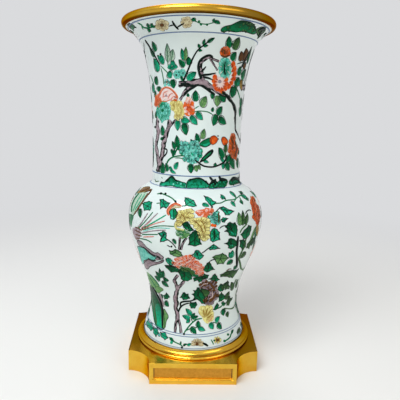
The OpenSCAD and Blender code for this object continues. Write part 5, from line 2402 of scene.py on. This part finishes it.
GARDEN_ROCK = (
    *vine_leaves(LIGHT, (169,250, 172,251, 175,249, 178,250, 181,252, 183,256, 178,257, 174,256, 170,254)),
    *patches(AUBERGINE, (137,241, 141,241, 144,244, 147,247.5, 150,249.5, 153,252, 156,253, 158,252.5,
        161,255, 163.5,257, 163,258.5, 160,259.5, 157,260, 156,258.5, 158,256.5, 154,255, 150,252.5,
        146,249.5, 142,246.5, 139,245), (144,261, 148,259.5, 152,261, 158,262, 163.5,259.5, 163,262,
        158,264, 154,265, 150,266.5, 148,269, 145.5,268, 144.5,264)),
    *patches(TURQUOISE, (137.5,246.5, 141,247, 145,249, 148,252.5, 152,255, 156,256.5, 155,259.5, 152,261,
        149,258.5, 147,260, 144,263, 142,264, 141,259, 139.5,253)),
    *strokes(INK, 1.2, (143,247, 147,250, 151,254, 155,257), (148,258, 151,260, 156,260.5)),
    *strokes(INK, 2.4, (156.5,256, 159,257.5, 160.5,259)),
    *patches(LIGHT, (147,272, 150,274.5, 154,278, 158,283, 159,287.5, 155,288.5, 151,286, 148.5,279),
        edge=None, shade=0),
    *strokes(DARK, 1.3, (148.5,275, 152,281, 156,287), (150,274.5, 155,280, 159.5,286)),
    *patches(LIGHT, (155.5,287.5, 159,286.5, 163.5,289.5, 161,291.5, 159,293, 156,291), edge=OLIVE),
    *patches(DARK, (150.5,286, 153,287, 156,292, 159.5,299, 163,308, 164,314, 164,328.5, 158,328, 155,323,
        153,313, 151.5,300), shade=1.0),
    *patches(GREEN, (155.5,306, 158.5,304, 161.5,311, 162.5,318, 162.5,327, 157.5,326, 155.5,317),
        edge=None, layer=3, shade=0.7),
    *strokes(INK, 3, (152.5,287, 156,293, 160,301, 162,308, 162.5,318, 162.5,328), end=1.8),
    *strokes(AUBERGINE, 2.6, (159,293, 162,300, 164,307), end=1.6),
    *strokes(OLIVE, 1.4, (152.5,295, 154,305, 155.5,315, 156.5,324)),
    *leaves(DARK, (161,294, 163,298.5, 2), (162,278, 163.5,270.5, 4), (161,278.5, 155.5,271, 3),
        (160.5,280.5, 154.5,276, 3), (163,279, 169,280.5, 3.4), (161.5,281, 169,287, 3.4),
        (161.5,278, 159.5,268, 2.6), (164.5,301, 169,306.5, 4)),
    *vine_leaves(DARK, (166.5,292.5, 168.3,294.5, 170,297, 167.5,299, 164.5,299.3, 163.5,295.5)),
    *patches(LIGHT, (164,309, 167,313, 168.5,317, 166.5,321, 165,328, 162.5,327, 163,318)),
)

CORAL_PEONY = (
    *vine_leaves(GREEN,
        (165.5,258.5, 168.5,257.5, 171,259, 174,262, 173,265, 170,265.5, 167.5,263, 166,261)),
    *vine_leaves(DARK, (164.5,265, 170,265.5, 174,266.5, 178,268, 181,272, 177,272, 173,272, 171,272.5,
        169,270, 166,267.5),
        (179,269, 183,268, 187,270, 190,272, 192,276, 192,279, 188,281, 184,281, 181,279, 180,275, 178,272),
        (193,278, 196,277, 200,276, 204,276.5, 206,278, 203,279.5, 201,281.5, 199,282.5, 197,280,
        194,281.5), (200,275.5, 204,273.5, 209,275, 207.5,278.5, 203,279)),
    *full_flowers(CORAL, RED, BLUSH, (177,258.5, 181,257.5, 185,256, 189,256.5, 192,257.5, 195,260.5,
        199,263, 201,265, 203,267, 203.5,271, 202,274, 199,275, 196,273, 195,270, 192,268.5, 188,266.5,
        184,266, 181,266.5, 178.5,268, 175.5,266.5, 173.5,263.5, 176,262, 177,260)),
    *strokes(RED, 1, (187,265, 190,262, 194,264.5), (193,267, 197,266, 199.5,269), (198,273, 201,270),
        (190,258.5, 194,261.5, 199,264.5), (181,259, 185,261, 189,259.5)),
    *strokes(BLUSH, 0.9, (177,264, 180,261.5, 183,261), (186,263, 191,260.5), (195,265, 200,267),
        (179,266, 183,264)),
    *patches(OLIVE, (179.5,267, 185,264.8, 191,267.8, 189.5,271.5, 183,271), edge=None, layer=3),
    *leaves(DARK, (187.5,270.5, 199.5,277.5, 5)),
    *strokes(INK, 1.5, (165,265.5, 171,266, 177,267.5)),
    *dots(OLIVE, (192,272.5, 2.4)),
    *limbs(3, (178,275, 175,279, 174.5,281, 176,284, 177.5,290), (184,281, 181,285, 179,287, 177.5,290),
        end=3.4),
    *limbs(4.2, (177.5,289, 176,295, 175.5,300, 176.5,303, 175.5,307, 176.5,311, 177.5,315, 177,320)),
    *limbs(2.6, (177,319, 175.8,324, 175,333), (178,318, 179.5,323, 180.5,328, 181,333)),
    *strokes(INK, 2, (178.5,312, 180,308, 183,305, 187,303.5, 190,303),
        (181,307, 180.5,303, 184,301.5, 190,301, 195,299.5, 198,298.5), end=1.2),
)

BODY_BOTTOM_RIGHT = (
    *full_flowers(AUBERGINE, SEPIA, INK, (199.5,284.5, 203,282, 206,281, 209,282, 212,281, 215.3,283,
        216.3,286.5, 215.8,289, 218,291.5, 218,295, 216.5,298.5, 214,301.5, 211.5,304, 208,304, 205,303,
        204,300, 206.5,297.5, 209.5,295, 210,291.5, 207,289.3, 203,288.5, 200.5,287.5)),
    *strokes(SEPIA, 2.2, (210,283, 213,287, 215,291), (216,292.5, 213.5,298, 209,302),
        (203,285.5, 207,285)),
    *strokes(BLUSH, 0.8, (201,286.5, 204,284, 208,283.5), (212,291, 212.5,296, 209,299)),
    *patches(OLIVE, (200.5,288.5, 204,289, 207.5,290, 209.5,292.5, 208,295, 205.5,297, 203,294), shade=0.9),
    *vine_leaves(DARK, (197,287.3, 199.5,287.5, 200.5,290.5, 203,293, 205,297, 204.5,301, 205,304,
        201.5,303.5, 199,300.5, 196,299, 192.5,300, 194.5,296.5, 191.5,294, 194.5,293, 193,290, 196,290.3),
        (182,294.5, 183,292.3, 185,292.3, 186,294, 188.5,293.5, 188.5,296, 190.3,298.3, 186.5,299.5,
        183,300, 182,297.7, 179.7,297.5), (213,310, 215,306, 217,302.5, 219,305, 218,308.5, 215.5,310),
        (221.5,292, 223.5,294.5, 226,296, 224,299, 221.5,301, 218.5,301.8, 219,298.5, 217.5,296.5),
        (190,302, 196,301.8, 197.3,304.5, 195,308.3, 191,308.3, 189.5,305)),
    *patches(YELLOW, (198.5,309, 201,305.7, 204,306.3, 207,305, 210,304, 212.5,307, 213,312, 214,316,
        213.3,320.3, 210,322, 206.5,323.3, 203.5,320.5, 202,317, 199.5,313.5), edge=None, shade=0),
    *petals(YELLOW, OCHRE, (205,318, 198.8,309.5, 4.6), (205,317, 203,305.5, 4.5),
        (205.5,317, 208,304.5, 4.5), (206,317, 212.5,306, 4.5), (206.5,318, 214,312, 4.5),
        (206.5,319, 214,318, 4.5), (206,319, 209,323, 4)),
    *strokes(OCHRE, 1, (204.5,316, 203,309), (205.5,315, 207.5,308), (207,315.5, 211.5,309),
        (207,318, 212.5,314)),
    *strokes(PINK, 1, (210.5,321, 212.8,315.5), (208,321.5, 211.5,319)),
    *leaves(GREEN, (192,315.5, 185.5,308.3, 4.2), (190.5,318.5, 182,315.5, 4.2), (190,319, 186,323, 3.6),
        (197.5,327.3, 205.5,330.5, 4.4), (215,322, 219.8,316.3, 4), (210,322.5, 213.3,329.3, 5)),
    *leaves(DARK, (191,318.5, 195,312.8, 3.4), (191.5,318.5, 198.5,316, 3.4), (198.3,328, 198,320.3, 4.4),
        (190.5,326.8, 196.5,334, 5), (217,323.3, 221.8,328.8, 5), (223.5,308, 223.5,315.8, 4.2)),
    *strokes(DARK, 1.4, (184,333, 188,327.5, 192,323, 197,319.3, 202,318.5)),
    *strokes(DARK, 1.1, (185,331, 191,328.5, 197,327.5), (213,322, 217,323.5), (191,318.5, 192.5,322),
        (217.5,308.5, 221,306.5, 224,303)),
    *dots(INK, (184,334, 1.2)),
    *leaves(DARK, (222,304.5, 223.5,300.8, 2), (222.5,305, 226,303, 2)),
    *strokes(OLIVE, 1, (224,308, 227,308.5, 231,308.7, 234,306.5, 235.2,301, 235.5,295, 236.5,290),
        (235,305.5, 236.7,310, 238.5,314)),
    *vine_leaves(OLIVE, (228,295.5, 230,296, 230,298, 232.5,297, 232,299.5, 230,302, 229,305.5, 226.5,305.5,
        226,302.5, 227.5,299)),
    *leaves(OLIVE, (227,311.5, 228,317.3, 3), (225.5,300, 229.3,291, 4), (221.5,290.5, 227,281.5, 4)),
)

FOOT_BORDER = (
    *leaves(TURQUOISE, (146,321, 148,325, 2)),
    *vine_leaves(GREEN, (144.5,319.5, 148.5,318.5, 152.5,323, 153.5,329, 151,331, 147.5,327),
        (153,327, 157.5,328, 159,333, 156,337, 153.5,333),
        (160,332, 165.5,332, 168.5,338, 165,340, 161.5,337)),
    *patches(TURQUOISE, (158,333, 160,334, 160.5,336, 158.5,336)),
    *strokes(DARK, 1.2, (169,337.5, 172,338.5, 174,341.5, 177,343, 181,345, 183,347)),
    *leaves(DARK, (169.5,337.5, 174.5,342, 2.4), (180.5,344.5, 181,341, 1.6), (183,345, 187.5,344, 2)),
    *strokes(INK, 2.5, (203,343, 205.5,344.3, 208,346)),
    *dots(GREEN, (171.5,342.5, 1.5)),
    *dots(INK, (184,345.5, 0.9), (182,347.5, 1.2)),
    *leaves(GREEN, (187,345.5, 191.5,343.5, 2.6)),
    *petals(CREAM, SEPIA, (197,345, 190.5,344, 3), (197,345, 191.5,341, 3), (197,345, 194,338.8, 3),
        (197,345, 197.5,338, 3), (197,345, 201,339, 3), (197,345, 203.5,341.5, 3), (197,345, 204,344.5, 3)),
    *strokes(SEPIA, 0.6, (197,343, 192,341.5), (197,343, 194.5,340), (197,343, 197.5,339),
        (197,343, 200.5,340.3), (197,343, 202.8,342.4)),
    *dots(SEPIA, (197,344.3, 1.5)),
    *strokes(DARK, 1.2, (211,339.5, 212.5,342, 213.5,344.5),
        (225,341, 228,339, 230,337, 231,334, 233.5,330)),
    Bloom((217.5, 340), (4, 3.5), 5, YELLOW, OCHRE, SEPIA, SEPIA),
    *dots(DARK, (214.3,340.5, 1), (228,334.5, 1.2), (224.5,341, 1.3)),
    *leaves(DARK, (231,333, 233.5,329.5, 1.8)),
    *vine_leaves(OLIVE, (239,327, 240.5,329, 240,332, 237.5,334.5, 236.5,332.5, 237.5,329.5)),
    *leaves(LIGHT, (240.5,321, 241.5,327, 2.5)),
)

PAINTING = (RIM_BORDER, NECK_TOP_LEFT, GNARLED_BRANCH, NECK_TOP_RIGHT, NECK_MIDDLE, NECK_BOTTOM,
            WAIST_BAND, PHEASANT, BODY_TOP_LEFT, CHRYSANTHEMUMS, BODY_RIGHT, GARDEN_ROCK, CORAL_PEONY,
            BODY_BOTTOM_RIGHT, FOOT_BORDER)
# Degrees from the front of what is painted once more at the sides, and where; and its half width
SIDE_COPIES = ((5, 90), (-11, -90))
SIDE_REACH = 12
# Height and width in millimetres of the blue lines that part the borders
BLUE_RINGS = ((488, 1.7), (472, 1.3), (291, 1.4), (274.4, 1.4), (64, 1), (61, 1), (45, 0.7))


def main() -> None:
    """Builds the dressed vase, piece by piece."""
    logging.basicConfig(level=logging.INFO, format="%(name)s: %(message)s")
    effects = ShaderEffects()
    camera = PhotoCamera()
    camera.build()
    Studio().build()
    outline = VaseOutline()
    PorcelainVase(outline).build(effects)
    GiltMounts(outline).build(effects)
    Fixings().build(effects)
    work = Brushwork(VaseChart(outline, camera))
    for group in PAINTING:
        work.add(group)
    work.repeat(-1, math.pi)
    for source, target in SIDE_COPIES:
        work.repeat(1, math.radians(target - source), math.radians(source - SIDE_REACH),
                    math.radians(source + SIDE_REACH))
    for height, width in BLUE_RINGS:
        work.ring(height, width, BLUE)
    EnamelWork(work, effects).build()


if __name__ == "__main__":
    main()
